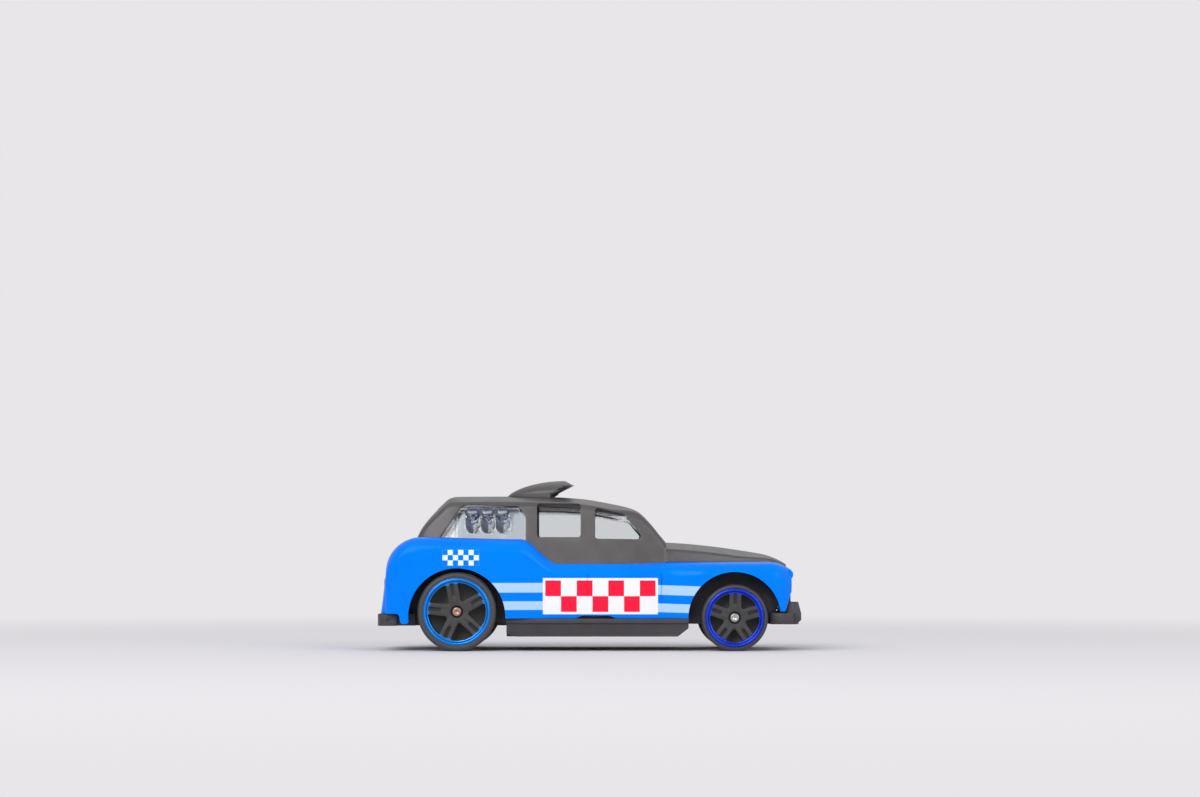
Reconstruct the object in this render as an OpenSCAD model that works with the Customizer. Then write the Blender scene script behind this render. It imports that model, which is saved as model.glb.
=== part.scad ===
// Toy taxi: a 1/64 die-cast car with a two-tone body, clear glazing and free-rolling wheels.
// Millimetres. +X is forward, +Y is the car's left, +Z is up.
// The origin is on the ground, under the middle of the car.

/* [Layout] */
// Distance between the two axles
wheelbase = 45.8; // [44.5:0.1:48]
// From the front axle to the front of the bumper
front_overhang = 11.05; // [10.9:0.05:12.5]
// From the rear axle to the back of the rear bumper
rear_overhang = 13.15; // [12.9:0.05:15]

/* [Wheels and axles] */
// Rear wheel diameter
rear_wheel_d = 13; // [12:0.1:13.4]
// Front wheel diameter
front_wheel_d = 11; // [10:0.1:11.6]
// Rear wheel width
rear_wheel_w = 5; // [4.2:0.1:5.2]
// Front wheel width
front_wheel_w = 4.4; // [3.6:0.1:4.6]
// How far a wheel's outer face sits inside the body's side
wheel_inset = 0.4; // [0.2:0.05:0.8]
// Axle wire diameter
axle_d = 1.1; // [0.9:0.05:1.4]
// Diameter of the upset head at each axle end
axle_head_d = 1.5; // [1.45:0.05:1.9]
// Radial running clearance round the axle
axle_clearance = 0.06; // [0.03:0.01:0.1]
// Spokes on a wheel
spokes = 5; // [4:1:7]
// Width of a spoke
spoke_w = 1.75; // [1.4:0.05:2]
// Width of the bright band on the rim
rim_band_w = 0.52; // [0.35:0.05:0.7]
// Width of a rear tyre's side outside the bright band
rear_tyre_side = 0.95; // [0.75:0.05:1.1]
// Width of a front tyre's side outside the bright band
front_tyre_side = 0.65; // [0.6:0.05:0.9]

/* [Lower body] */
// Width over the rear haunches
haunch_w = 29.2; // [28.4:0.1:31]
// How far a door stands inside the haunch
door_step = 1.4; // [0.9:0.05:1.6]
// How far a front wing stands inside the haunch
wing_step = 0.7; // [0.2:0.05:1]
// Height of the rear haunches
haunch_z = 18.8; // [18.1:0.1:19.5]
// Depth of the wing over the top of the front arch
wing_crown = 1.6; // [1.3:0.05:2]
// Height of the doors' lower edge
sill_z = 5.4; // [5.2:0.05:5.8]
// Casting wall
body_wall = 1.2; // [0.9:0.05:1.3]
// Radius of the rounded shoulders
shoulder_r = 2.5; // [2:0.1:2.8]
// Gap between the rear tyre's top and its arch
rear_arch_gap = 0.65; // [0.4:0.05:1]
// Gap between the front tyre's top and its arch
front_arch_gap = 2.05; // [1.4:0.05:2.1]
// Extra radius of the rear arch past its tyre
rear_arch_reach = 1.5; // [1.2:0.05:1.6]
// Extra radius of the front arch past its tyre
front_arch_reach = 2.16; // [1.6:0.02:2.2]

/* [Upper body] */
// Height of the roof at its crown
roof_z = 25.7; // [25:0.05:26.5]
// How far the cabin's side stands inside the haunch, at the door tops
cabin_step = 2.9; // [2.7:0.05:3.3]
// Lean of the cabin sides from upright, in degrees
cabin_lean = 11; // [9:0.5:13]
// Radius of the roof's long edges
roof_edge_r = 1.6; // [1.2:0.1:2]
// Rise of the roof's crown over its edges
roof_crown = 0.9; // [0.5:0.1:1.2]
// Wall of the black upper shell
upper_wall = 1; // [0.8:0.05:1.1]
// Height of the side windows' lower edge
window_sill_z = 18.8; // [18.3:0.1:19.1]
// Width of the pillar between the side windows
pillar_w = 2.4; // [1.8:0.1:2.8]
// Height of the bonnet where it meets the screen
scuttle_z = 18.05; // [17.65:0.05:18.25]
// Height of the scoop over the roof
scoop_h = 2.7; // [2:0.05:3]
// Width of the roof scoop
scoop_w = 9.6; // [8:0.1:11]

/* [Glazing and stacks] */
// Thickness of the clear moulding
glass_t = 0.8; // [0.6:0.05:0.9]
// Diameter of an intake stack
stack_d = 2.45; // [2.2:0.05:2.5]
// Distance from one stack to the next
stack_pitch = 2.5; // [2.4:0.05:2.8]
// Tilt of the stacks above level, in degrees
stack_tilt = 45; // [38:1:50]
// Length of a stack from its root in the panel
stack_len = 3.3; // [2.8:0.1:3.8]

/* [Chassis] */
// Height of the chassis underside
chassis_z = 2.4; // [2:0.1:2.8]
// Thickness of the chassis floor
floor_t = 1.2; // [1:0.05:1.4]
// Radius of a rivet's shank
rivet_r = 0.8; // [0.6:0.05:0.9]
// Radius of a rivet's head
rivet_head_r = 1.8; // [1.5:0.05:2]
// Clearance between pieces that are put together
fit = 0.1; // [0.06:0.01:0.15]

/* [Hidden] */
$fn = 48;
hull_fn = 20;
over = 1;
seat = 0.05;

// Widths, each from the width over the haunches
door_w = haunch_w - 2 * door_step;
wing_w = haunch_w - 2 * wing_step;
cabin_w = haunch_w - 2 * cabin_step;
body_half = max(haunch_w, wing_w, door_w) / 2;

// Places along the car
car_length = front_overhang + wheelbase + rear_overhang;
nose_x = car_length / 2;
tail_x = -car_length / 2;
front_axle_x = nose_x - front_overhang;
rear_axle_x = tail_x + rear_overhang;
front_axle_z = front_wheel_d / 2;
rear_axle_z = rear_wheel_d / 2;

// Height of the door tops and wing tops
belt_z = front_wheel_d + front_arch_gap + wing_crown;

// Wheel arches
rear_arch_r = rear_wheel_d / 2 + rear_arch_reach;
rear_arch_z = rear_wheel_d + rear_arch_gap - rear_arch_r;
front_arch_r = front_wheel_d / 2 + front_arch_reach;
front_arch_z = front_wheel_d + front_arch_gap - front_arch_r;

// Lower body: the tail is an arc in side view, and the haunch runs down a ramp to the doors
bumper_proud = 0.5;
tail_body_x = tail_x + bumper_proud;
tail_low_z = 6.15;
tail_lean = 0.8;
tail_arc_l = 6;
tail_arc_x = tail_body_x + tail_lean + tail_arc_l;
tail_arc_z = haunch_z - 5.7;
tail_pinch = 1.7;
haunch_fall = 0.35;
ramp_x0 = rear_axle_x + 10.4;
ramp_l = 6.2;
door_x0 = ramp_x0 + ramp_l;
wing_x0 = front_axle_x - 11;
nose_body_x = nose_x - 1.7;
nose_l = 3.3;
nose_drop = 1.2;
nose_pinch = 1.8;
nose_tuck = 1;
nose_tuck_z = 9.6;
wing_low_z = 6.55;
brow_proud = 0.4;
brow_h = 1.7;
side_tuck = 0.5;
waist_z = 9.8;
body_floor_z = 3.4;
tab_x0 = tail_body_x + 2.8;
tab_z = 4.5;
tab_r = 0.5;
sill_notch_l = 6.6;
sill_notch_h = 0.45;
door_line_w = 0.25;
door_line_depth = 0.2;
lamp_r = 1.5;
lamp_y = wing_w / 2 - 4.7;
lamp_z = 10.9;
tail_lamp_r = 1.1;
tail_lamp_z = 10.9;

// Upper body
cabin_back_x = rear_axle_x - 6.9;
screen_x = front_axle_x - 11.25;
skirt = 2;
quarter_x0 = rear_axle_x - 2.8;
quarter_x1 = rear_axle_x + 11.25;
front_door_l = 13;
b_pillar_x = screen_x - front_door_l;
window_top = roof_z - 1.3;
corner_r = 0.5;
opening_y = cabin_w / 3;
panel_y = cabin_w / 2 - 3.25;
quarter_lean_x = 1.45;
quarter_lean_z = 0.47;
front_window_drop = 1.26;
screen_crown = 0.25;
bonnet_gap = seat;
bonnet_w = cabin_w - 1.4;
bonnet_nose_w = 10;
bonnet_crown = 1;
bonnet_edge_r = 0.9;
bonnet_nose_x = nose_body_x - 0.4;
bonnet_rise = 0.73;
bonnet_nose_drop = 0.85;
stake_r = 0.9;
stake_y = bonnet_w / 2 - 6;
stake_x = screen_x + 4.4;

// Roof scoop
scoop_back = 2.3;
scoop_x1 = b_pillar_x - scoop_back;
scoop_l = 10.6;
scoop_wall = 0.7;
scoop_peg_r = 0.8;
scoop_lip_drop = 0.75;
mouth_back = 3.3;
bar_back = 5.2;
bar_l = 0.5;
mouth_hollow = 6;
mouth_drop = 2;

// Stacks
stack_x = rear_axle_x + 4.95;
stack_root_y = cabin_w / 2 - 1.5;
stack_root_z = haunch_z + 1.9;
stack_edge_r = 0.35;
intake_r = 0.75;
intake_depth = 1.4;

// Chassis
floor_z = chassis_z + floor_t;
wheel_gap = 0.2;
well_t = 0.9;
boss_r = 1.9;
boss_proud = 0.4;
boss_back = 1.4;
front_face = wing_w / 2 - wheel_inset;
rear_face = haunch_w / 2 - wheel_inset;
front_well_half = front_face - front_wheel_w - wheel_gap - boss_proud;
rear_well_half = rear_face - rear_wheel_w - wheel_gap - boss_proud;
apron_low_z = 4.15;
rear_apron_h = tail_low_z - seat - apron_low_z;
rear_edge = rear_axle_x - rear_wheel_d / 2 - 0.5;
rear_step_x = rear_axle_x - 4.6;
front_nose_x = nose_body_x - 0.5;
front_edge = front_axle_x + front_wheel_d / 2 + 0.45;
step_t = 1;
sill_x0 = rear_axle_x + rear_arch_r + 0.15;
sill_x1 = front_axle_x - front_arch_r + 0.05;
sill_half = door_w / 2 - 0.1;
sill_back = sill_half - 1.7;
rear_post_x = tail_body_x + 4.5;
front_post_x = screen_x + 5.5;
post_r = 1.9;
rivet_head_t = 0.5;
rivet_len = 5.5;
grille_w = 8;
grille_bars = 9;
grille_top = belt_z - nose_drop - 0.5;
bumper_z0 = 4.4;
bumper_z1 = 6.25;
guard_y = wing_w / 2 - 3.3;
guard_w = 2;

// Interior
tub_x0 = quarter_x1 + 2.1;
tub_x1 = screen_x - 2.2;
tub_half = min(cabin_w / 2 - 1.4, sill_back - 1.1);
tub_wall = 0.8;
tub_floor_t = 1.1;
bench_gap = 2;
bench_back_h = 2;
seat_back_h = 1.8;
tub_rim_z = belt_z - skirt + 0.7 - seat;
seat_l = 4.4;
seat_back_t = 1.5;
cushion_h = 5;
steering_r = 1.5;
column_l = 2.2;
steering_z = 1.9;
steering_bar_z = 1.7;
dash_l = 2;
seat_y = tub_half / 2 - 0.35;
seat_w = tub_half - 3.9;

// Wheels and axles
front_phase = 88;
rear_phase = 101;
head_l = 0.45;
head_sunk = 0.25;
hub_r = 1.7;
hub_back = 0.3;
back_depth = 1.4;
dish_depth = 0.5;
gap_depth = 1.9;

// Smooth step from 0 to 1
function ease(t) = let(c = min(max(t, 0), 1)) c * c * (3 - 2 * c);

// Points on an arc in a plane, from angle a0 to a1 in n steps
function arc(c, r, a0, a1, n) = [for (i = [0:n]) let(a = a0 + (a1 - a0) * i / n) c + r * [cos(a), sin(a)]];

// A closed section: the half from the lower edge up to the middle, then its mirror image down again
function whole(half) =
  let(n = len(half), last = half[n - 1], start = last[0] == 0 ? n - 2 : n - 1)
  concat(half, [for (i = [start:-1:0]) [-half[i][0], half[i][1]]]);

// A solid skin over sections, each a list of [y, z] points with the same count, at places along X
module loft(places, sections) {
  m = len(sections[0]);
  n = len(sections);
  points = [for (i = [0:n - 1]) for (p = sections[i]) [places[i], p[0], p[1]]];
  sides = [for (i = [0:n - 2]) for (j = [0:m - 1]) for (k = [0:1])
    let(a = i * m + j, b = i * m + (j + 1) % m, c = a + m, d = b + m)
    k == 0 ? [a, c, b] : [b, c, d]];
  caps = [[for (j = [0:m - 1]) j], [for (j = [m - 1:-1:0]) (n - 1) * m + j]];
  polyhedron(points, concat(sides, caps));
}

// Height and half width of the lower body along X, inset by d
function haunch_top(x, d) =
  haunch_z - d - haunch_fall * ease((x - tail_arc_x) / (ramp_x0 - tail_arc_x))
  - (haunch_z - haunch_fall - belt_z) * ease((x - ramp_x0) / ramp_l);
function side_half(x, d) =
  haunch_w / 2 - d - (haunch_w - door_w) / 2 * ease((x - ramp_x0 + 5) / (ramp_l + 5))
  + (wing_w - door_w) / 2 * ease((x - wing_x0) / 7);
function nose_t(x, d) = max(0, (x - (nose_body_x - d - nose_l)) / nose_l);

// Places along the lower body, with the half width and top height at each
function lower_rows(d) = concat(
  [[tail_body_x + d, haunch_w / 2 - d - tail_pinch - 1.3, tail_low_z + 0.6]],
  [for (t = [0:15:90]) [
    tail_arc_x - (tail_arc_l - d) * cos(t),
    haunch_w / 2 - d - tail_pinch * (1 - sin(t)),
    tail_arc_z + (haunch_z - tail_arc_z - d) * sin(t)]],
  [for (x = [rear_axle_x, ramp_x0 - 5, ramp_x0 - 2.5]) [x, side_half(x, d), haunch_top(x, d)]],
  [for (t = [0:1:7]) let(x = ramp_x0 + ramp_l * t / 7) [x, side_half(x, d), haunch_top(x, d)]],
  [for (t = [0:1:5]) let(x = wing_x0 + 7 * t / 5) [x, side_half(x, d), belt_z - d]],
  [for (t = [0:0.2:1]) let(x = nose_body_x - d - nose_l * (1 - t)) [
    x,
    side_half(x, d) - nose_pinch * pow(t, 2),
    belt_z - d - nose_drop * pow(t, 2)]]);

// One section of the lower body: a tucked side, then a rounded shoulder
function lower_section(w, top, low, d) =
  let(r = max(0.3, min(shoulder_r - d / 2, (top - low) / 2)))
  whole(concat(
    [[w - side_tuck, low], [w, min(waist_z, top - r - 0.01)]],
    arc([w - r, top - r], r, 0, 90, 6)));

// The lower body's form, inset by d, with the foot of its nose set back
module lower_solid(d, low) {
  rows = lower_rows(d);
  difference() {
    loft([for (r = rows) r[0]], [for (r = rows) lower_section(r[1], r[2], low, d)]);
    across([[nose_body_x - d, nose_tuck_z], [nose_body_x - d - nose_tuck, wing_low_z],
      [nose_body_x - d - nose_tuck, low - over], [nose_x + over, low - over], [nose_x + over, nose_tuck_z]]);
  }
}

// Top of the lower body where the upper body stands
function deck_z(x) = x > nose_body_x - nose_l
  ? belt_z - nose_drop * pow(nose_t(x, 0), 2)
  : haunch_top(x, 0);

// Places along the cabin: x, how far the side is drawn in there, height of the crown
function cabin_rows(d) = [
  [cabin_back_x + 1.2 * d, 1.8, haunch_z + 0.1],
  [cabin_back_x + 0.75 + 1.2 * d, 1, haunch_z + 1.85],
  [cabin_back_x + 4.2 + 1.1 * d, 0.25, roof_z - 1.1 - 0.2 * d],
  [cabin_back_x + 5.1 + 0.8 * d, 0.1, roof_z - 0.35 - 0.6 * d],
  [cabin_back_x + 6.3 + 0.4 * d, 0, roof_z - 0.05 - d],
  [b_pillar_x - 12, 0, roof_z - d],
  [b_pillar_x - 8, 0, roof_z - 0.06 - d],
  [b_pillar_x - 5, 0, roof_z - 0.14 - d],
  [b_pillar_x - 1, 0, roof_z - 0.42 - d],
  [b_pillar_x + 3.7, 0, roof_z - 1.2 - d],
  [screen_x - 6.4 - 0.2 * d, 0.05, roof_z - 1.85 - d],
  [screen_x - 4.8 - 0.4 * d, 0.1, roof_z - 2.45 - d],
  [screen_x - 3.5 - 0.9 * d, 0.2, roof_z - 3.5 - 0.7 * d],
  [screen_x - 1.3 * d, 0.5, scuttle_z]];

// One section of the cabin: leaning sides, a rounded edge and a crowned top
function cabin_section(pinch, top, low, crown, r, half, base_z, lean, d) =
  let(edge_z = top - crown,
      foot = half - pinch - d / cos(lean) + (base_z - low) * tan(lean),
      yc = foot - (r - sin(lean) * (low - edge_z + r)) / cos(lean))
  whole(concat(
    [[foot, low]],
    arc([yc, edge_z - r], r, lean, 90, 5),
    [[yc / 2, edge_z + crown * 0.75], [0, top]]));

// Rise of the roof's crown at a place along the cabin: the screen is flatter than the roof
function crown_at(x) = roof_crown - (roof_crown - screen_crown) * ease((x - b_pillar_x - 3.7) / 5);

// The crown and the edge radius are less where the cabin is low, at its back and at the scuttle
module cabin_solid(d, drop) {
  rows = cabin_rows(d);
  loft([for (r = rows) r[0]],
    [for (r = rows)
      let(low = max(deck_z(r[0]), belt_z) - drop,
          h = r[2] - max(deck_z(r[0]), belt_z) + skirt,
          crown = min(crown_at(r[0]), h * 0.15),
          edge_r = max(0.2, min(roof_edge_r, h * 0.35) - d))
      cabin_section(r[1], r[2], low, crown, edge_r, cabin_w / 2, belt_z, cabin_lean, d)]);
}

// Places along the bonnet: x, half width at its foot, height of the crown
function bonnet_rows() =
  let(x0 = screen_x - 1, l = bonnet_nose_x - x0)
  [for (t = [0, 0.15, 0.4, 0.65, 0.8, 0.9, 0.96, 1]) let(x = x0 + l * t) [
    x,
    bonnet_w / 2 - (bonnet_w - bonnet_nose_w) / 2 * pow(t, 1.6),
    scuttle_z - 0.1 - (scuttle_z - belt_z - bonnet_rise) * pow(t, 1.6)
      - bonnet_nose_drop * pow(max(0, (t - 0.8) / 0.2), 2)]];

module bonnet_solid() {
  rows = bonnet_rows();
  loft([for (r = rows) r[0]],
    [for (r = rows) let(low = deck_z(max(r[0], door_x0)) + bonnet_gap, h = r[2] - low)
      cabin_section(0, r[2], low, min(bonnet_crown, h * 0.5), min(bonnet_edge_r, h * 0.3),
        r[1], low, cabin_lean, 0)]);
}

// A rounded convex plate in the XZ plane, through the car from y0 to y1
module side_plate(corners, r, y0, y1) {
  translate([0, y1, 0]) rotate([90, 0, 0]) linear_extrude(y1 - y0)
    hull() for (c = corners) translate(c) circle(r, $fn = hull_fn);
}

// The same in the YZ plane, from x0 to x1
module end_plate(corners, r, x0, x1) {
  translate([x0, 0, 0]) rotate([90, 0, 90]) linear_extrude(x1 - x0)
    hull() for (c = corners) translate(c) circle(r, $fn = hull_fn);
}

// A flat shape in the XZ plane, through the whole car
module across(points) {
  half = body_half + over;
  translate([0, half, 0]) rotate([90, 0, 0]) linear_extrude(2 * half) polygon(points);
}

// Corners of the window openings; the quarter opening is drawn smaller by d
function quarter_corners(d) = [
  [quarter_x0 + d, haunch_z - 0.7],
  [quarter_x0 + 3.65 + d, window_top - 0.9 - d],
  [quarter_x0 + 4.35 + d, window_top - corner_r - 0.1 - d],
  [quarter_x1 - quarter_lean_x - d, window_top - corner_r - quarter_lean_z - d],
  [quarter_x1 - corner_r - d, window_top - 2.3 - d],
  [quarter_x1 - corner_r - d, haunch_z - 0.7]];
rear_window_corners =
  let(x0 = quarter_x1 + 1.85 + corner_r, x1 = b_pillar_x - pillar_w / 2 - corner_r)
  [[x0, window_sill_z + corner_r], [x1, window_sill_z + corner_r],
   [x1, window_top - corner_r], [x0, window_top - corner_r]];
front_window_corners =
  let(x0 = b_pillar_x + pillar_w / 2 + corner_r, z0 = window_sill_z - 0.25 + corner_r)
  [[x0, z0], [screen_x - 4.7, z0 - 0.1], [screen_x - 7.3, roof_z - 3.5],
   [x0, window_top - front_window_drop]];
screen_corners = [for (s = [-1, 1]) each [
  [s * (cabin_w / 2 - 3.4), scuttle_z + 1.3], [s * (cabin_w / 2 - 4.5), roof_z - 4.3]]];
back_corners = [for (s = [-1, 1]) each [
  [s * (cabin_w / 2 - 6), haunch_z + 1.65], [s * (cabin_w / 2 - 6.8), roof_z - 2.65]]];

// A side opening from near outward: s is 1 on the car's left and -1 on its right
module side_opening(s, corners, near) {
  far = cabin_w / 2 + over;
  side_plate(corners, corner_r, s < 0 ? -far : near, s < 0 ? -near : far);
}

module wheel_arches() {
  for (a = [[front_axle_x, front_arch_z, front_arch_r], [rear_axle_x, rear_arch_z, rear_arch_r]])
    translate([a[0], 0, a[1]]) rotate([90, 0, 0])
      cylinder(r = a[2], h = 2 * (body_half + over), center = true, $fn = 72);
}

// Everything under the lower body's bottom edge
module underside() {
  mid = (rear_axle_x + front_axle_x) / 2;
  notch = sill_notch_l / 2;
  deep = body_floor_z - over;
  across([
    [tail_x - over, deep], [tail_x - over, tail_low_z], [tab_x0, tail_low_z],
    [tab_x0 + tab_r, tab_z + tab_r], [tab_x0 + 2 * tab_r, tab_z], [rear_axle_x, tab_z],
    [rear_axle_x, sill_z], [mid - notch, sill_z], [mid - notch + 1, sill_z + sill_notch_h],
    [mid + notch - 1, sill_z + sill_notch_h], [mid + notch, sill_z],
    [front_axle_x, sill_z], [front_axle_x, wing_low_z], [nose_x + over, wing_low_z],
    [nose_x + over, deep]]);
}

// Shut lines cut in the doors
module door_lines() {
  for (s = [-1, 1]) for (x = [b_pillar_x, screen_x - 0.8])
    translate([x - door_line_w / 2, s * (door_w / 2 - door_line_depth) - (s < 0 ? over : 0), sill_z + 0.6])
      cube([door_line_w, over, belt_z - sill_z - shoulder_r]);
}

// A round lamp moulding with a raised rim; it faces forward for 1 and backward for -1
module lamp(x, y, z, r, way) {
  rim = 0.25;
  translate([x, y, z]) rotate([0, 90 * way, 0]) rotate_extrude($fn = 32)
    polygon([[0, -0.5], [r, -0.5], [r, rim], [r - 0.35, rim], [r - 0.5, 0], [0, 0.2]]);
}

// A brow over each headlamp, at the front of the wing
module lamp_brow(s) {
  depth = 0.5;
  w = 4.4;
  low = belt_z - nose_drop - brow_h;
  hull() {
    translate([nose_body_x - depth, s * lamp_y - w / 2, low]) cube([depth, w, brow_h]);
    translate([nose_body_x - depth, s * lamp_y - w / 2, low + 0.55])
      cube([depth + brow_proud, w, brow_h - 1.1]);
  }
}

// A hanging post with a blind hole in its foot
module rivet_post(x, z0, z1) {
  translate([x, 0, z0]) difference() {
    cylinder(r = post_r, h = z1 - z0, $fn = 32);
    translate([0, 0, -over]) cylinder(r = rivet_r + seat, h = rivet_len + over, $fn = 32);
  }
}

// The opening in the nose for the grille
module grille_opening() {
  half = grille_w / 2 - 0.3;
  end_plate([for (s = [-1, 1]) each [[s * half, wing_low_z - over], [s * half, grille_top - 0.4]]],
    0.4 + fit, nose_body_x - 3, nose_x);
}

module lower_body() {
  color("#0082ff") {
    difference() {
      union() {
        difference() {
          lower_solid(0, body_floor_z);
          lower_solid(body_wall, body_floor_z - over);
        }
        for (s = [-1, 1]) {
          lamp_brow(s);
          lamp(nose_body_x - 0.05, s * lamp_y, lamp_z, lamp_r, 1);
          lamp(tail_body_x + 0.7, s * lamp_y, tail_lamp_z, tail_lamp_r, -1);
        }
      }
      cabin_solid(-fit, skirt + over);
      wheel_arches();
      underside();
      door_lines();
      grille_opening();
      for (s = [-1, 1]) translate([stake_x, s * stake_y, belt_z - body_wall - over])
        cylinder(r = stake_r + fit, h = body_wall + 2 * over, $fn = 32);
    }
    rivet_post(front_post_x, bumper_z0 + floor_t + seat, belt_z - body_wall / 2);
    rivet_post(rear_post_x, tail_low_z + seat, haunch_z - 2.1);
  }
}

// A melted stake that holds the bonnet to the deck under it
module stake() {
  head_h = 0.6;
  translate([0, 0, belt_z - body_wall - head_h]) {
    cylinder(r = stake_r, h = body_wall + 2 * head_h, $fn = 32);
    cylinder(r1 = stake_r, r2 = stake_r + 0.5, h = head_h - seat, $fn = 32);
  }
}

module upper_body() {
  color("#3b3a3c") {
    difference() {
      cabin_solid(0, skirt);
      cabin_solid(upper_wall, skirt + over);
      for (s = [-1, 1]) {
        side_opening(s, quarter_corners(0), opening_y);
        side_opening(s, rear_window_corners, opening_y);
        side_opening(s, front_window_corners, opening_y);
      }
      end_plate(screen_corners, corner_r, screen_x - 6, screen_x + over);
      end_plate(back_corners, corner_r, cabin_back_x - over, cabin_back_x + 5.8);
      scoop_pegs(fit, over);
    }
    difference() {
      bonnet_solid();
      cabin_solid(upper_wall, skirt + over);
    }
    for (s = [-1, 1]) translate([stake_x, s * stake_y, 0]) stake();
  }
}

// Scoop: places along it from its tail, with half width and height over the roof
scoop_rows = [for (t = [0, 0.1, 0.25, 0.45, 0.7, 0.88, 1])
  let(swell = sqrt(1 - pow(1 - min(t / 0.8, 1), 2)), rise = sqrt(1 - pow(1 - min(t / 0.86, 1), 2)))
  [scoop_x1 - scoop_l * (1 - t),
   scoop_w / 2 * (0.2 + 0.8 * swell) - 0.3 * ease((t - 0.8) / 0.2),
   scoop_h * rise - scoop_lip_drop * ease((t - 0.84) / 0.16)]];

module scoop_shell(d) {
  low = roof_z - 1.6;
  loft([for (r = scoop_rows) r[0]], [for (r = scoop_rows)
    let(h = max(r[2] - d, 0.05), w = max(r[1] - d, 0.2), side_z = roof_z + h * 0.2)
    whole(concat([[w, low], [w, side_z]],
      [for (a = [20:20:80]) [w * cos(a), side_z + h * 0.8 * sin(a)]], [[0, roof_z + h]]))]);
}

// Two pegs under the scoop, wider by d and taller by up, flush with the inside of the roof
module scoop_pegs(d, up) {
  low = roof_z - upper_wall - seat;
  for (s = [-1, 1]) translate([scoop_x1 - scoop_l * 0.6, s * scoop_w / 4.9, low])
    cylinder(r = scoop_peg_r + d, h = roof_z - low + up, $fn = 32);
}

// The scoop's mouth: a slanted front, and a hollow behind it
module scoop_mouth() {
  tip_z = roof_z + scoop_h - 0.78;
  half = scoop_w / 2 + over;
  across([[scoop_x1 + over, tip_z], [scoop_x1 - 0.1, tip_z], [scoop_x1 - mouth_back, roof_z - seat],
    [scoop_x1 - mouth_back, roof_z - mouth_drop], [scoop_x1 + over, roof_z - mouth_drop]]);
  intersection() {
    scoop_shell(scoop_wall);
    translate([scoop_x1 - mouth_hollow, -half, roof_z + 0.35]) cube([mouth_hollow + over, 2 * half, scoop_h]);
  }
}

module roof_scoop() {
  bar_w = 0.24;
  color("#3f3e40") {
    difference() {
      scoop_shell(0);
      cabin_solid(-seat / 2, skirt);
      scoop_mouth();
    }
    for (i = [-3:3]) intersection() {
      translate([scoop_x1 - bar_back, i * scoop_w / 8 - bar_w / 2, roof_z + 0.1])
        cube([bar_l, bar_w, scoop_h]);
      scoop_shell(scoop_wall / 2);
    }
    scoop_pegs(0, 0.3);
  }
}

// One stack: a round intake that leans out of the quarter panel
module stack() {
  rotate_extrude($fn = 32) polygon(concat(
    [[0, 0], [stack_d / 2, 0]],
    arc([stack_d / 2 - stack_edge_r, stack_len - stack_edge_r], stack_edge_r, 0, 90, 3),
    [[intake_r, stack_len], [intake_r - 0.1, stack_len - intake_depth], [0, stack_len - intake_depth]]));
}

// A clear panel that fills the quarter opening on one side, with its row of stacks
module stack_bank(s) {
  color("#cfd9ea", 0.5) {
    intersection() {
      difference() {
        cabin_solid(2 * fit, skirt);
        cabin_solid(upper_wall + fit - seat, skirt + over);
      }
      side_opening(s, quarter_corners(fit), panel_y);
      translate([-car_length / 2, -cabin_w, haunch_z - 0.75]) cube([car_length, 2 * cabin_w, roof_z]);
    }
    difference() {
      for (i = [-1:1]) translate([stack_x + i * stack_pitch, s * stack_root_y, stack_root_z])
        rotate([-s * (90 - stack_tilt), 0, 0]) stack();
      cabin_solid(upper_wall + fit - seat, skirt + over);
    }
  }
}

module clear_insert() {
  gap = upper_wall + fit;
  color("#dfe6f0", 0.4) difference() {
    cabin_solid(gap, skirt - 0.7);
    cabin_solid(gap + glass_t, skirt + over);
  }
}

// Interior: a floor, side walls, a bench, two seats, a dashboard and a steering wheel
module seat_block(x, y, w, back_z) {
  translate([x, y - w / 2, floor_z + seat]) {
    cube([seat_l, w, cushion_h]);
    cube([seat_back_t, w, back_z - floor_z]);
  }
}

module steering_wheel() {
  cylinder(r = 0.35, h = column_l);
  translate([0, 0, steering_z]) rotate_extrude() translate([steering_r, 0]) circle(0.3);
  translate([-0.25, -steering_r, steering_bar_z]) cube([0.5, 2 * steering_r, 0.4]);
}

module interior_tub() {
  l = tub_x1 - tub_x0;
  w = 2 * tub_half;
  color("#8d8f92") {
    translate([tub_x0, -tub_half, floor_z + seat]) cube([l, w, tub_floor_t]);
    for (s = [-1, 1]) translate([tub_x0, s > 0 ? tub_half - tub_wall : -tub_half, floor_z + seat])
      cube([l, tub_wall, tub_rim_z - floor_z - seat]);
    seat_block(tub_x0, 0, w - bench_gap, belt_z + bench_back_h);
    for (s = [-1, 1]) seat_block(b_pillar_x + 0.3, s * seat_y, seat_w, belt_z + seat_back_h);
    translate([tub_x1 - dash_l, -tub_half, floor_z + seat]) cube([dash_l, w, tub_rim_z - floor_z - seat]);
    translate([tub_x1 - dash_l + 0.1, -seat_y, tub_rim_z - 0.6]) rotate([0, -65, 0]) steering_wheel();
  }
}

// Side sill: a lip along its top, a set-back face and a lip along its foot
module side_sill(s) {
  top = sill_z - seat;
  intersection() {
    translate([sill_x0, 0, 0]) rotate([90, 0, 90]) linear_extrude(sill_x1 - sill_x0) polygon([
      [s * sill_back, chassis_z], [s * sill_half, chassis_z], [s * sill_half, chassis_z + 0.4],
      [s * (sill_half - 0.25), chassis_z + 0.55], [s * (sill_half - 0.2), top - 0.9],
      [s * (sill_half + 0.05), top - 0.75], [s * (sill_half + 0.05), top], [s * sill_back, top]]);
    across([[sill_x0, top + over], [sill_x0, chassis_z + 0.6], [sill_x0 + 1.6, chassis_z],
      [sill_x1 - 1.8, chassis_z], [sill_x1, chassis_z + 0.9], [sill_x1, top + over]]);
  }
}

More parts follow.
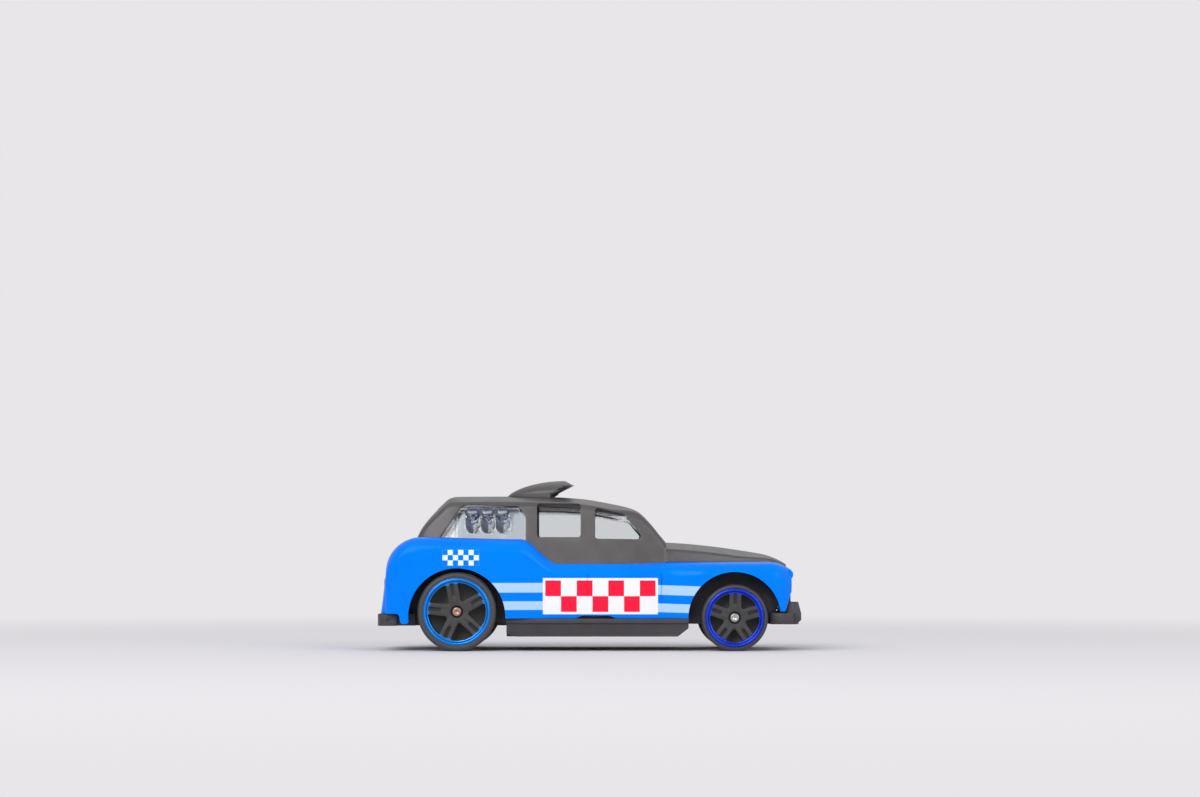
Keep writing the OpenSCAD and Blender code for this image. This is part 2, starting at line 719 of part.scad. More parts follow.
// A wall behind each wheel, with the bearing boss that carries the axle
module wheel_well(s, half, x, axle_z, arch_z, arch_r, low) {
  top = belt_z - body_wall - 0.4;
  boss_l = boss_back + well_t + boss_proud;
  end = nose_body_x - body_wall - nose_tuck - fit;
  intersection() {
    translate([x, s > 0 ? half - well_t : -half, arch_z]) rotate([-90, 0, 0])
      cylinder(r = arch_r + 0.5, h = well_t);
    across([[tail_x, low], [end, low], [end, wing_low_z], [end + nose_tuck, nose_tuck_z],
      [end + nose_tuck, top], [tail_x, top]]);
  }
  translate([x, s > 0 ? half + boss_proud - boss_l : -half - boss_proud, axle_z]) rotate([-90, 0, 0])
    cylinder(r = boss_r, h = boss_l);
}

module axle_bore(x, z) {
  translate([x, 0, z]) rotate([90, 0, 0])
    cylinder(r = axle_d / 2 + axle_clearance, h = haunch_w, center = true);
}

module rivet_hole(x, z0, z1) {
  translate([x, 0, z0 - over]) {
    cylinder(r = rivet_r + fit, h = z1 - z0 + 2 * over);
    cylinder(r = rivet_head_r + fit, h = rivet_head_t + over);
  }
}

// Front bumper: a bar with turned-back ends and two upright guards
module front_bumper() {
  half = wing_w / 2 - 1.6;
  edge = [[nose_x - 0.4, half - 1.6], [nose_x - 1.4, half], [nose_x - 3.2, half], [nose_x - 5.1, half - 0.9]];
  translate([0, 0, bumper_z0]) linear_extrude(bumper_z1 - bumper_z0) polygon(both_sides(edge));
  for (s = [-1, 1]) translate([0, s * guard_y + guard_w / 2, bumper_z0]) rotate([90, 0, 0])
    linear_extrude(guard_w) polygon([
    [nose_body_x - 0.8, 0], [nose_x - 0.8, 0], [nose_x, 0.7], [nose_x, 1.8],
    [nose_x - 0.5, 3.7], [nose_body_x + seat, 3.7], [nose_body_x - 0.8, 2.1]]);
}

// Rear bumper: a deep bar with turned-forward ends, each with a slot in its side
module rear_bumper() {
  half = haunch_w / 2 - 1.7;
  front = tab_x0 - 0.1;
  edge = [[front, half - 0.4], [tail_x + 1.4, half], [tail_x + 0.4, half - 0.4], [tail_x, half - 1.4]];
  difference() {
    translate([0, 0, apron_low_z]) linear_extrude(rear_apron_h) polygon(both_sides(edge));
    for (s = [-1, 1]) translate([tail_x + 1.5, s > 0 ? half - 0.35 : -half - 0.15, apron_low_z + 0.7])
      cube([1.3, 0.5, 0.5]);
  }
}

// A plan outline made from the points of its left edge
function both_sides(edge) = concat(edge, [for (i = [len(edge) - 1:-1:0]) [edge[i][0], -edge[i][1]]]);

// Radiator grille: an upright panel with slots between its bars
module grille() {
  pitch = (grille_w - 1) / grille_bars;
  h = grille_top - bumper_z0;
  difference() {
    translate([nose_body_x - 1.4, -grille_w / 2, bumper_z0]) cube([1.8, grille_w, h]);
    for (i = [0:grille_bars - 1])
      translate([nose_body_x, (i - (grille_bars - 1) / 2) * pitch - pitch / 4, wing_low_z + 0.6])
        cube([over, pitch / 2, grille_top - wing_low_z - 1.2]);
  }
}

// A block across the car
module crossbar(x0, x1, half, z0, z1) {
  translate([x0, -half, z0]) cube([x1 - x0, 2 * half, z1 - z0]);
}

module chassis() {
  floor_half = sill_half - 1;
  rear_floor_z = apron_low_z + floor_t;
  front_floor_z = bumper_z0 + floor_t;
  color("#232224") difference() {
    union() {
      crossbar(sill_x0, sill_x1, floor_half, chassis_z, floor_z);
      for (s = [-1, 1]) {
        side_sill(s);
        wheel_well(s, front_well_half, front_axle_x, front_axle_z, front_arch_z, front_arch_r, bumper_z0);
        wheel_well(s, rear_well_half, rear_axle_x, rear_axle_z, rear_arch_z, rear_arch_r, apron_low_z);
      }
      crossbar(tail_x + 1.4, rear_edge, rear_well_half + 2, apron_low_z, apron_low_z + rear_apron_h);
      crossbar(tail_x + 1.4, rear_step_x, rear_well_half, apron_low_z, apron_low_z + rear_apron_h);
      crossbar(rear_step_x - over, sill_x0 + step_t, rear_well_half, apron_low_z, rear_floor_z);
      crossbar(sill_x0, sill_x0 + step_t, rear_well_half, chassis_z, rear_floor_z);
      crossbar(front_edge, front_nose_x, front_well_half + 2.2, bumper_z0, bumper_z1);
      crossbar(sill_x1 - step_t, front_edge + step_t, front_well_half, bumper_z0, front_floor_z);
      crossbar(sill_x1 - step_t, sill_x1, front_well_half, chassis_z, front_floor_z);
      front_bumper();
      rear_bumper();
      grille();
    }
    axle_bore(front_axle_x, front_axle_z);
    axle_bore(rear_axle_x, rear_axle_z);
    rivet_hole(front_post_x, bumper_z0, front_floor_z);
    rivet_hole(rear_post_x, apron_low_z, tail_low_z);
  }
}

// A shank with a flat, bevelled head
module rivet() {
  head_h = rivet_head_t - seat / 2;
  rotate_extrude() polygon([[0, 0], [rivet_head_r - 0.5, 0], [rivet_head_r, head_h / 2],
    [rivet_head_r, head_h], [0, head_h]]);
  cylinder(r = rivet_r, h = rivet_len);
}

module base_rivets() {
  color("#b9bbbd") {
    translate([front_post_x, 0, bumper_z0]) rivet();
    translate([rear_post_x, 0, apron_low_z]) rivet();
  }
}

// Axle: a wire across the car with an upset head in each hub
module axle(x, z, face) {
  end = face - head_sunk;
  r = axle_head_d / 2;
  color("#c4c2bf") translate([x, 0, z]) rotate([90, 0, 0]) {
    cylinder(r = axle_d / 2, h = 2 * end - head_l, center = true);
    for (s = [-1, 1]) rotate([0, s < 0 ? 180 : 0, 0]) translate([0, 0, end - head_l])
      rotate_extrude() polygon([[0, 0], [r, 0], [r, head_l - 0.15], [r - 0.2, head_l], [0, head_l]]);
  }
}

// The hole between two spokes, about the X axis: its sides run along the spokes
module spoke_gap(r) {
  a = 180 / spokes;
  root = spoke_w / 2 / sin(a) + 0.35;
  tip = 2 * r * [cos(a), sin(a)] + spoke_w / 2 * [sin(a), -cos(a)];
  intersection() {
    cylinder(r = r, h = gap_depth + over);
    linear_extrude(gap_depth + over) polygon([[root, 0.2], [root, -0.2], [tip[0], -tip[1]], tip]);
  }
}

// Wheel about its own axis: z runs from the inner face to the outer face
module wheel_solid(d, w, side, phase) {
  r = d / 2;
  rim_r = r - side;
  dish_r = rim_r - rim_band_w;
  face = w - dish_depth;
  band = w - 0.06;
  turn = 360 / spokes;
  difference() {
    rotate_extrude($fn = 96) polygon(concat(
      [[0, hub_back], [hub_r, hub_back], [hub_r, back_depth], [r - 1.5, back_depth], [r - 1.3, 0]],
      arc([r - 0.4, 0.4], 0.4, -90, 0, 3),
      arc([r - 0.6, w - 0.6], 0.6, 0, 90, 5),
      [[rim_r + 0.1, w - 0.05], [rim_r, w - 0.18], [rim_r - 0.1, band], [dish_r, band],
       [dish_r - 0.1, face], [0, face]]));
    for (i = [0:spokes - 1]) rotate(phase + i * turn) {
      translate([dish_r * 0.55, -spoke_w / 5, face - 0.2]) cube([dish_r * 0.36, spoke_w * 0.4, over]);
      rotate(turn / 2) translate([0, 0, face - gap_depth]) spoke_gap(dish_r - 0.25);
    }
    translate([0, 0, -over]) cylinder(r = axle_d / 2 + axle_clearance, h = w + 2 * over);
    translate([0, 0, w - head_sunk - head_l - 0.1]) cylinder(r = axle_head_d / 2 + 0.3, h = w);
  }
}

// A wheel in place: s is 1 on the left and -1 on the right
module wheel(s, x, z, d, w, side, face, phase) {
  color("#2a2829") translate([x, s * (face - w), z]) rotate([-s * 90, 0, 0])
    wheel_solid(d, w, side, phase);
}

module front_wheel(s) {
  wheel(s, front_axle_x, front_axle_z, front_wheel_d, front_wheel_w, front_tyre_side,
    front_face, front_phase);
}

module rear_wheel(s) {
  wheel(s, rear_axle_x, rear_axle_z, rear_wheel_d, rear_wheel_w, rear_tyre_side,
    rear_face, rear_phase);
}

lower_body();
upper_body();
roof_scoop();
clear_insert();
stack_bank(1);  // left_stacks
stack_bank(-1);  // right_stacks
interior_tub();
chassis();
base_rivets();
axle(front_axle_x, front_axle_z, front_face);  // front_axle
axle(rear_axle_x, rear_axle_z, rear_face);  // rear_axle
front_wheel(1);  // front_left_wheel
front_wheel(-1);  // front_right_wheel
rear_wheel(1);  // rear_left_wheel
rear_wheel(-1);  // rear_right_wheel
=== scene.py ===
"""Dresses the toy taxi: smooth shells, glazing, wheels, paint, print, floor, light and camera.

Sizes are millimetres in the car's own frame: +X is forward, +Y is the car's left, +Z is up, and the
origin is on the ground under the middle of the car. They become metres when a mesh is made.
"""

import logging
import math
from collections.abc import Iterator, Sequence
from contextlib import contextmanager
from dataclasses import dataclass
from enum import Enum

import bmesh
import bpy
from mathutils import Matrix, Vector


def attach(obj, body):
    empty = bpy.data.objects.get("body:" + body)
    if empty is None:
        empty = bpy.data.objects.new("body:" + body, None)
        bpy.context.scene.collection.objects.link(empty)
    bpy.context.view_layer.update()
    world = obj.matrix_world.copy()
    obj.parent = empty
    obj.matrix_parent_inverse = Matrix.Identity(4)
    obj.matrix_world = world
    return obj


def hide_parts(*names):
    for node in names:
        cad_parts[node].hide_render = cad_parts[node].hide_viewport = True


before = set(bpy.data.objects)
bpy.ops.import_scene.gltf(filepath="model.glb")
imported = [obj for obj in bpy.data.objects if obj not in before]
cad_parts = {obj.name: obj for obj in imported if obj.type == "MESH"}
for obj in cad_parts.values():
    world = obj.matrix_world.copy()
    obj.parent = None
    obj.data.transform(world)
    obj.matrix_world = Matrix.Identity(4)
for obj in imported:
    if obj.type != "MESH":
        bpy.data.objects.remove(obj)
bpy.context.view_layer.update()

LOG = logging.getLogger("taxi")
MM = 0.001

# Edges sharper than these stay sharp or are rounded, in degrees
SMOOTH_ANGLE = 40.0
SOLID_ANGLE = 30.0

# Points nearer than these become one, and faces thinner than the last one go
CLOSE_MERGE = 0.001
SOLID_MERGE = 0.002
CUT_MERGE = 0.012
CUT_SLIVER = 0.004

# Triangles that lie this flat to each other become one face, in degrees
FLAT_ANGLE = 0.5

# Sockets of the colour mix node, whose names its other kinds share
MIX_FACTOR = 0
MIX_FIRST = 6
MIX_SECOND = 7
MIX_RESULT = 2

# The range in which most of a noise lies, and the light bending of opaque plastic
NOISE_RANGE = (0.3, 0.7)
PLASTIC_IOR = 1.48

Place = tuple[float, float, float]
Flat = tuple[float, float]
Colour = tuple[float, float, float, float]
Value = float | Sequence[float] | bpy.types.NodeSocket


class Side(Enum):
    """The two sides of the car, by the sign of Y."""

    LEFT = 1
    RIGHT = -1


class Carve(Enum):
    """What a tool does to the piece that it meets."""

    CUT = "DIFFERENCE"
    ADD = "UNION"
    KEEP = "INTERSECT"


@dataclass(frozen=True)
class AxlePlace:
    """Where an axle lies along the car, and its wheels' radius and outer face."""

    name: str
    x: float
    radius: float
    face: float


REAR = AxlePlace("rear", -21.85, 6.5, 14.2)
FRONT = AxlePlace("front", 23.95, 5.5, 13.5)


def tone(red: int, green: int, blue: int) -> Colour:
    """Turns a screen colour into a shader colour.

    Args:
        red: Red as a screen shows it, 0 to 255.
        green: Green, 0 to 255.
        blue: Blue, 0 to 255.

    Returns:
        The linear colour with full opacity.
    """
    levels = [c / 255 for c in (red, green, blue)]
    linear = [c / 12.92 if c <= 0.04045 else ((c + 0.055) / 1.055) ** 2.4 for c in levels]
    return (linear[0], linear[1], linear[2], 1.0)


def shaded(colour: Colour, level: float, lift: float = 0.0) -> Colour:
    """A colour made paler or darker by a factor and a lift."""
    red, green, blue = (min(1.0, c * level + lift) for c in colour[:3])
    return (red, green, blue, 1.0)


def ease(t: float) -> float:
    """Smooth step from 0 to 1."""
    c = min(max(t, 0.0), 1.0)
    return c * c * (3 - 2 * c)


def spaced(start: float, end: float, steps: int) -> list[float]:
    """Evenly spaced numbers from start to end, both included."""
    return [start + (end - start) * i / steps for i in range(steps + 1)]


def arc(centre: Flat, radius: float, start: float, end: float, steps: int) -> list[Flat]:
    """Points on an arc.

    Args:
        centre: The arc's centre.
        radius: Its radius.
        start: First angle in degrees.
        end: Last angle in degrees.
        steps: Number of chords.

    Returns:
        The points from start to end.
    """
    angles = [math.radians(a) for a in spaced(start, end, steps)]
    return [(centre[0] + radius * math.cos(a), centre[1] + radius * math.sin(a)) for a in angles]


def dome(half: float, height: float, steps: int) -> list[Flat]:
    """Points on a quarter of an ellipse, from its side up to its top on the middle line."""
    angles = [math.radians(a) for a in spaced(0.0, 90.0, steps)[:-1]]
    return [*[(half * math.cos(a), height * math.sin(a)) for a in angles], (0.0, height)]


def rounded(corners: Sequence[Flat], radius: float, steps: int = 6) -> list[Flat]:
    """The outline of a convex shape with a circle at each corner.

    Args:
        corners: Circle centres, counter-clockwise.
        radius: Radius of each circle.
        steps: Chords on each corner.

    Returns:
        The outline, counter-clockwise.
    """
    points: list[Flat] = []
    for i, (u, v) in enumerate(corners):
        back = corners[i - 1]
        ahead = corners[(i + 1) % len(corners)]
        start = math.degrees(math.atan2(v - back[1], u - back[0])) - 90
        end = math.degrees(math.atan2(ahead[1] - v, ahead[0] - u)) - 90
        points += arc((u, v), radius, start, start + (end - start) % 360, steps)
    return points


def box(u: Flat, v: Flat) -> list[Flat]:
    """The corners of a rectangle, counter-clockwise."""
    return [(u[0], v[0]), (u[1], v[0]), (u[1], v[1]), (u[0], v[1])]


def smooth_rows(rows: Sequence[Sequence[float]], step: float) -> list[list[float]]:
    """Fills in rows between the given ones, on curves that don't overshoot.

    Args:
        rows: Rows of numbers, the first of each growing along the list.
        step: Largest spacing of the first number.

    Returns:
        The filled list, with the given rows in it.
    """
    places, *columns = zip(*rows)
    gaps = [b - a for a, b in zip(places, places[1:])]
    slopes: list[list[float]] = []
    for values in columns:
        chords = [(b - a) / g for a, b, g in zip(values, values[1:], gaps)]
        column = [chords[0]]
        for before, after, g0, g1 in zip(chords, chords[1:], gaps, gaps[1:]):
            w0 = 2 * g1 + g0
            w1 = g1 + 2 * g0
            column.append(0.0 if before * after <= 0 else (w0 + w1) / (w0 / before + w1 / after))
        slopes.append([*column, chords[-1]])
    filled: list[list[float]] = []
    for i, g in enumerate(gaps):
        count = max(1, math.ceil(g / step))
        for t in spaced(0.0, 1.0, count)[:-1]:
            row = [places[i] + g * t]
            for values, column in zip(columns, slopes):
                row.append(
                    (1 + 2 * t) * (1 - t) ** 2 * values[i]
                    + t * (1 - t) ** 2 * g * column[i]
                    + t * t * (3 - 2 * t) * values[i + 1]
                    + t * t * (t - 1) * g * column[i + 1]
                )
            filled.append(row)
    return [*filled, list(rows[-1])]


def whole(half: Sequence[Flat]) -> list[Flat]:
    """Closes a half section, from its foot up to the middle, with its mirror image."""
    last = len(half) - (1 if half[-1][0] == 0 else 0)
    return [*half, *[(-y, z) for y, z in reversed(half[:last])]]


def deselect() -> None:
    """Leaves edit mode and deselects every object."""
    active = bpy.context.view_layer.objects.active
    if active is not None and active.mode != "OBJECT":
        bpy.ops.object.mode_set(mode="OBJECT")
    bpy.ops.object.select_all(action="DESELECT")


def take(piece: bpy.types.Object) -> None:
    """Makes a piece the active object and the only selected one.

    Args:
        piece: The piece to work on.
    """
    deselect()
    bpy.context.view_layer.objects.active = piece
    piece.select_set(True)


@contextmanager
def editing(piece: bpy.types.Object) -> Iterator[None]:
    """Opens a piece in edit mode with everything selected, and closes it afterwards.

    Args:
        piece: The piece to shape.

    Yields:
        Nothing; operators act on the piece meanwhile.
    """
    take(piece)
    bpy.ops.object.mode_set(mode="EDIT")
    bpy.ops.mesh.select_all(action="SELECT")
    yield
    bpy.ops.object.mode_set(mode="OBJECT")


def outline(name: str, points: Sequence[Place]) -> bpy.types.Object:
    """Adds a circle and carries its points to an outline.

    Args:
        name: The new object's name.
        points: The outline in millimetres.

    Returns:
        An object with one closed loop of edges.
    """
    deselect()
    bpy.ops.mesh.primitive_circle_add(vertices=len(points), radius=MM)
    piece = bpy.context.object
    piece.name = name
    for vertex, point in zip(piece.data.vertices, points):
        vertex.co = Vector(point) * MM
    return piece


def close_up(piece: bpy.types.Object) -> None:
    """Merges doubled points, drops loose ones and turns the faces outwards.

    Args:
        piece: The piece to close.
    """
    with editing(piece):
        bpy.ops.mesh.remove_doubles(threshold=CLOSE_MERGE * MM)
        bpy.ops.mesh.delete_loose()
        bpy.ops.mesh.select_all(action="SELECT")
        bpy.ops.mesh.normals_make_consistent(inside=False)


def prism(name: str, points: Sequence[Place], sweep: Place) -> bpy.types.Object:
    """Fills an outline and extrudes it.

    Args:
        name: The new object's name.
        points: The outline in millimetres.
        sweep: How far and where it is extruded, in millimetres.

    Returns:
        The solid.
    """
    piece = outline(name, points)
    with editing(piece):
        bpy.ops.mesh.edge_face_add()
        bpy.ops.mesh.extrude_region_move(TRANSFORM_OT_translate={"value": Vector(sweep) * MM})
    close_up(piece)
    return piece


def skin(name: str, rings: Sequence[Sequence[Place]]) -> bpy.types.Object:
    """Draws a closed skin over rings by extruding the first one through all the others.

    Args:
        name: The new object's name.
        rings: Closed rings in millimetres, with the same number of points.

    Returns:
        The solid, with flat ends.
    """
    piece = outline(name, rings[0])
    count = len(rings[0])
    with editing(piece):
        bpy.ops.mesh.edge_face_add()
        latest = list(range(count))
        for ring in rings[1:]:
            bpy.ops.mesh.extrude_edges_move()
            mesh = bmesh.from_edit_mesh(piece.data)
            mesh.verts.ensure_lookup_table()
            mesh.verts.index_update()
            newest = len(mesh.verts) - count
            following: list[int] = []
            for index, point in zip(latest, ring):
                corner = mesh.verts[index]
                partners = [edge.other_vert(corner) for edge in corner.link_edges]
                partner = next(vertex for vertex in partners if vertex.index >= newest)
                partner.co = Vector(point) * MM
                following.append(partner.index)
            latest = following
        bpy.ops.mesh.edge_face_add()
    close_up(piece)
    return piece


def turned(
    name: str, profile: Sequence[Flat], centre: Place, along: Place, steps: int = 48
) -> bpy.types.Object:
    """Spins a closed profile into a round solid.

    Args:
        name: The new object's name.
        profile: Pairs of radius and distance along the axis, in millimetres.
        centre: Where the axis distance is 0.
        along: The axis as a unit vector along X, Y or Z.
        steps: Facets round the axis.

    Returns:
        The solid.
    """
    axis = Vector(along)
    out = Vector((1, 0, 0)) if axis.z else Vector((0, 0, 1))
    piece = outline(name, [tuple(Vector(centre) + out * r + axis * a) for r, a in profile])
    with editing(piece):
        bpy.ops.mesh.spin(steps=steps, angle=2 * math.pi, center=Vector(centre) * MM, axis=axis)
    close_up(piece)
    return piece


def carve(piece: bpy.types.Object, tool: bpy.types.Object, how: Carve = Carve.CUT) -> None:
    """Cuts, adds or keeps what a tool covers, and removes the tool.

    Args:
        piece: The piece that is changed.
        tool: A closed solid.
        how: What the tool does.
    """
    step = piece.modifiers.new("carve", "BOOLEAN")
    step.object = tool
    step.operation = how.value
    step.solver = "EXACT"
    take(piece)
    bpy.ops.object.modifier_apply(modifier=step.name)
    bpy.data.objects.remove(tool)


def smooth(piece: bpy.types.Object) -> bpy.types.Object:
    """Shades a piece smooth between its sharp edges.

    Args:
        piece: The piece to shade.

    Returns:
        The piece.
    """
    take(piece)
    bpy.ops.object.shade_smooth_by_angle(angle=math.radians(SMOOTH_ANGLE))
    return piece


def soften(piece: bpy.types.Object, width: float, angle: float = 38.0) -> None:
    """Rounds a piece's edges and shades it smooth between them.

    Args:
        piece: The piece to finish.
        width: Width of the rounding.
        angle: Edges sharper than this are rounded, in degrees.
    """
    with editing(piece):
        bpy.ops.mesh.remove_doubles(threshold=CUT_MERGE * MM)
        bpy.ops.mesh.dissolve_degenerate(threshold=CUT_SLIVER * MM)
    rounding = piece.modifiers.new("rounding", "BEVEL")
    rounding.width = width * MM
    rounding.segments = 2
    rounding.limit_method = "ANGLE"
    rounding.angle_limit = math.radians(angle)
    rounding.miter_outer = "MITER_ARC"
    take(piece)
    bpy.ops.object.modifier_apply(modifier=rounding.name)
    bpy.ops.object.shade_smooth_by_angle(angle=math.radians(angle))


def join(piece: bpy.types.Object, others: Sequence[bpy.types.Object]) -> bpy.types.Object:
    """Joins other objects into a piece.

    Args:
        piece: The object that stays.
        others: Objects that become part of it.

    Returns:
        The piece.
    """
    take(piece)
    for other in others:
        other.select_set(True)
    bpy.ops.object.join()
    return piece


def copied(piece: bpy.types.Object, name: str, place: Matrix) -> bpy.types.Object:
    """Copies a piece with a mesh of its own, put in another place.

    Args:
        piece: The modelled piece.
        name: The copy's name.
        place: The move or turn, in metres.

    Returns:
        The copy, with its place in its mesh.
    """
    deselect()
    mesh = piece.data.copy()
    mesh.transform(place)
    if place.determinant() < 0:
        mesh.flip_normals()
    copy = bpy.data.objects.new(name, mesh)
    bpy.context.scene.collection.objects.link(copy)
    return copy


def turn_about(centre: Place, axis: Place, degrees: float) -> Matrix:
    """A turn about an axis through a point given in millimetres."""
    there = Matrix.Translation(Vector(centre) * MM)
    return there @ Matrix.Rotation(math.radians(degrees), 4, axis) @ there.inverted()


def across_car() -> Matrix:
    """The mirror image on the other side of the car."""
    return Matrix.Diagonal((1, -1, 1, 1))


def refined(node: str, name: str, width: float) -> bpy.types.Object:
    """Copies a solid of the frame and finishes its edges.

    Args:
        node: The frame's node.
        name: The copy's name.
        width: Width of the rounding on its edges.

    Returns:
        The finished copy.
    """
    piece = copied(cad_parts[node], name, Matrix.Identity(4))
    piece.data.materials.clear()
    flat = math.radians(FLAT_ANGLE)
    with editing(piece):
        bpy.ops.mesh.remove_doubles(threshold=SOLID_MERGE * MM)
        bpy.ops.mesh.tris_convert_to_quads(face_threshold=flat, shape_threshold=math.pi)
    soften(piece, width, SOLID_ANGLE)
    return piece


def settle(
    piece: bpy.types.Object, body: str, nodes: Sequence[str], finish: bpy.types.Material
) -> bpy.types.Object:
    """Gives a piece its finish and ties it to the frame.

    Args:
        piece: The finished mesh.
        body: The body that it rides on.
        nodes: The nodes that it stands for.
        finish: Its material.

    Returns:
        The piece.
    """
    piece.data.materials.clear()
    piece.data.materials.append(finish)
    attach(piece, body)
    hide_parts(*nodes)
    LOG.info("%s: %d faces on %s", piece.name, len(piece.data.polygons), body)
    return piece


class NodeTree:
    """A node tree that is built from its first node on."""

    def __init__(self, tree: bpy.types.NodeTree) -> None:
        """Clears a tree.

        Args:
            tree: The tree of a material or of the world.
        """
        self.tree = tree
        tree.nodes.clear()

    def add(self, kind: str, inputs: dict[int | str, Value], **settings: object) -> bpy.types.Node:
        """Adds a node.

        Args:
            kind: Blender's name of the node.
            inputs: Numbers, colours or sockets for its inputs.
            settings: Its other settings.

        Returns:
            The node.
        """
        node = self.tree.nodes.new(kind)
        for key, value in settings.items():
            setattr(node, key, value)
        for key, value in inputs.items():
            if isinstance(value, bpy.types.NodeSocket):
                self.tree.links.new(value, node.inputs[key])
            else:
                node.inputs[key].default_value = value
        return node

    def blend(self, mask: Value, first: bpy.types.Node, second: bpy.types.Node) -> bpy.types.NodeSocket:
        """First shader where the mask is 0, second where it is 1."""
        inputs = {0: mask, 1: first.outputs[0], 2: second.outputs[0]}
        return self.add("ShaderNodeMixShader", inputs).outputs[0]


class Recipe(NodeTree):
    """Builds one material from nodes that read the piece's own place in millimetres."""

    def __init__(self, name: str) -> None:
        """Starts a material.

        Args:
            name: The material's name.
        """
        self.material = bpy.data.materials.new(name)
        self.material.use_nodes = True
        super().__init__(self.material.node_tree)
        metres = self.add("ShaderNodeTexCoord", {}).outputs["Object"]
        scaled = self.add("ShaderNodeVectorMath", {0: metres, "Scale": 1 / MM}, operation="SCALE")
        self.place = scaled.outputs[0]
        split = self.add("ShaderNodeSeparateXYZ", {0: self.place})
        self.x, self.y, self.z = split.outputs

    def math(self, operation: str, first: Value, second: Value = 0.0) -> bpy.types.NodeSocket:
        """One sum of two values."""
        return self.add("ShaderNodeMath", {0: first, 1: second}, operation=operation).outputs[0]

    def noise(self, scale: float, detail: float = 3.0, roughness: float = 0.55) -> bpy.types.NodeSocket:
        """Soft random values about one half.

        Args:
            scale: Features to a millimetre.
            detail: Layers of finer features.
            roughness: Strength of the finer layers.

        Returns:
            The value socket.
        """
        inputs = {"Vector": self.place, "Scale": scale, "Detail": detail, "Roughness": roughness}
        return self.add("ShaderNodeTexNoise", inputs).outputs[0]

    def spread(self, value: Value, low: float, high: float, start: float, end: float) -> bpy.types.NodeSocket:
        """Carries values between low and high smoothly to start and end."""
        inputs = {"Value": value, "From Min": low, "From Max": high, "To Min": start, "To Max": end}
        return self.add("ShaderNodeMapRange", inputs, interpolation_type="SMOOTHSTEP").outputs[0]

    def noise_to(self, noise: Value, start: float, end: float) -> bpy.types.NodeSocket:
        """Carries the usual range of a noise to start and end."""
        return self.spread(noise, *NOISE_RANGE, start, end)

    def wear(self, cloud: Value, grain: Value, start: float, end: float) -> bpy.types.NodeSocket:
        """Roughness of handled plastic, from start to end with its clouds and its grain."""
        marks = self.math("ADD", cloud, self.math("MULTIPLY", grain, 0.4))
        return self.spread(marks, 0.4, 1.0, start, end)

    def over(self, value: Value, edge: Value, soft: float = 0.03) -> bpy.types.NodeSocket:
        """1 where a value is over an edge, 0 under it."""
        return self.spread(self.math("SUBTRACT", value, edge), -soft, soft, 0.0, 1.0)

    def under(self, value: Value, edge: Value, soft: float = 0.03) -> bpy.types.NodeSocket:
        """1 where a value is under an edge, 0 over it."""
        return self.math("SUBTRACT", 1.0, self.over(value, edge, soft))

    def band(self, value: Value, low: Value, high: Value, soft: float = 0.03) -> bpy.types.NodeSocket:
        """1 where a value lies between low and high."""
        return self.math("MULTIPLY", self.over(value, low, soft), self.under(value, high, soft))

    def both(self, *masks: Value) -> bpy.types.NodeSocket:
        """Puts masks together.

        Args:
            masks: Two or more masks.

        Returns:
            1 where every mask is 1.
        """
        result = masks[0]
        for mask in masks[1:]:
            result = self.math("MULTIPLY", result, mask)
        return result

    def reach(self, first: Value, second: Value) -> bpy.types.NodeSocket:
        """Length of the diagonal of two distances."""
        squares = [self.math("MULTIPLY", side, side) for side in (first, second)]
        return self.math("SQRT", self.math("ADD", *squares))

    def mix(self, mask: Value, first: Value, second: Value) -> bpy.types.NodeSocket:
        """First colour where the mask is 0, second where it is 1."""
        inputs = {MIX_FACTOR: mask, MIX_FIRST: first, MIX_SECOND: second}
        return self.add("ShaderNodeMix", inputs, data_type="RGBA", clamp_factor=True).outputs[MIX_RESULT]

    def bump(self, height: Value, depth: float) -> bpy.types.NodeSocket:
        """A surface normal from heights of 0 to 1, each worth a depth in millimetres."""
        inputs = {"Strength": 1.0, "Distance": depth * MM, "Height": height}
        return self.add("ShaderNodeBump", inputs).outputs[0]

    def finish(self, surface: bpy.types.NodeSocket) -> bpy.types.Material:
        """Ties a surface to the output and gives the material."""
        self.add("ShaderNodeOutputMaterial", {"Surface": surface})
        return self.material

    def coat(self, inputs: dict[int | str, Value]) -> bpy.types.Material:
        """Adds the surface shader with its inputs and gives the material."""
        return self.finish(self.add("ShaderNodeBsdfPrincipled", inputs).outputs[0])


@dataclass(frozen=True)
class MouldedPlastic:
    """Satin moulded plastic with a faint mould grain and handling marks."""

    name: str
    colour: Colour
    roughness: float = 0.45
    smoother: float = 0.06
    rougher: float = 0.08
    mottle: float = 0.07
    cloud: float = 0.35
    grain: float = 9.0
    depth: float = 0.006

    def paint(self, mix: Recipe, cloud: Value) -> bpy.types.NodeSocket:
        """The plastic's colour, a little paler and darker in clouds.

        Args:
            mix: The material that is being built.
            cloud: Soft random values.

        Returns:
            The colour socket.
        """
        pale = shaded(self.colour, 1 + self.mottle, 0.002)
        dark = shaded(self.colour, 1 - self.mottle)
        return mix.mix(mix.noise_to(cloud, 0.0, 1.0), dark, pale)

    def material(self) -> bpy.types.Material:
        """Builds the material.

        Returns:
            A new material.
        """
        mix = Recipe(self.name)
        cloud = mix.noise(self.cloud, 4.0)
        grain = mix.noise(self.grain, 2.0)
        return mix.coat({
            "Base Color": self.paint(mix, cloud),
            "Roughness": mix.wear(
                cloud, grain, self.roughness - self.smoother, self.roughness + self.rougher
            ),
            "IOR": PLASTIC_IOR,
            "Normal": mix.bump(grain, self.depth),
        })


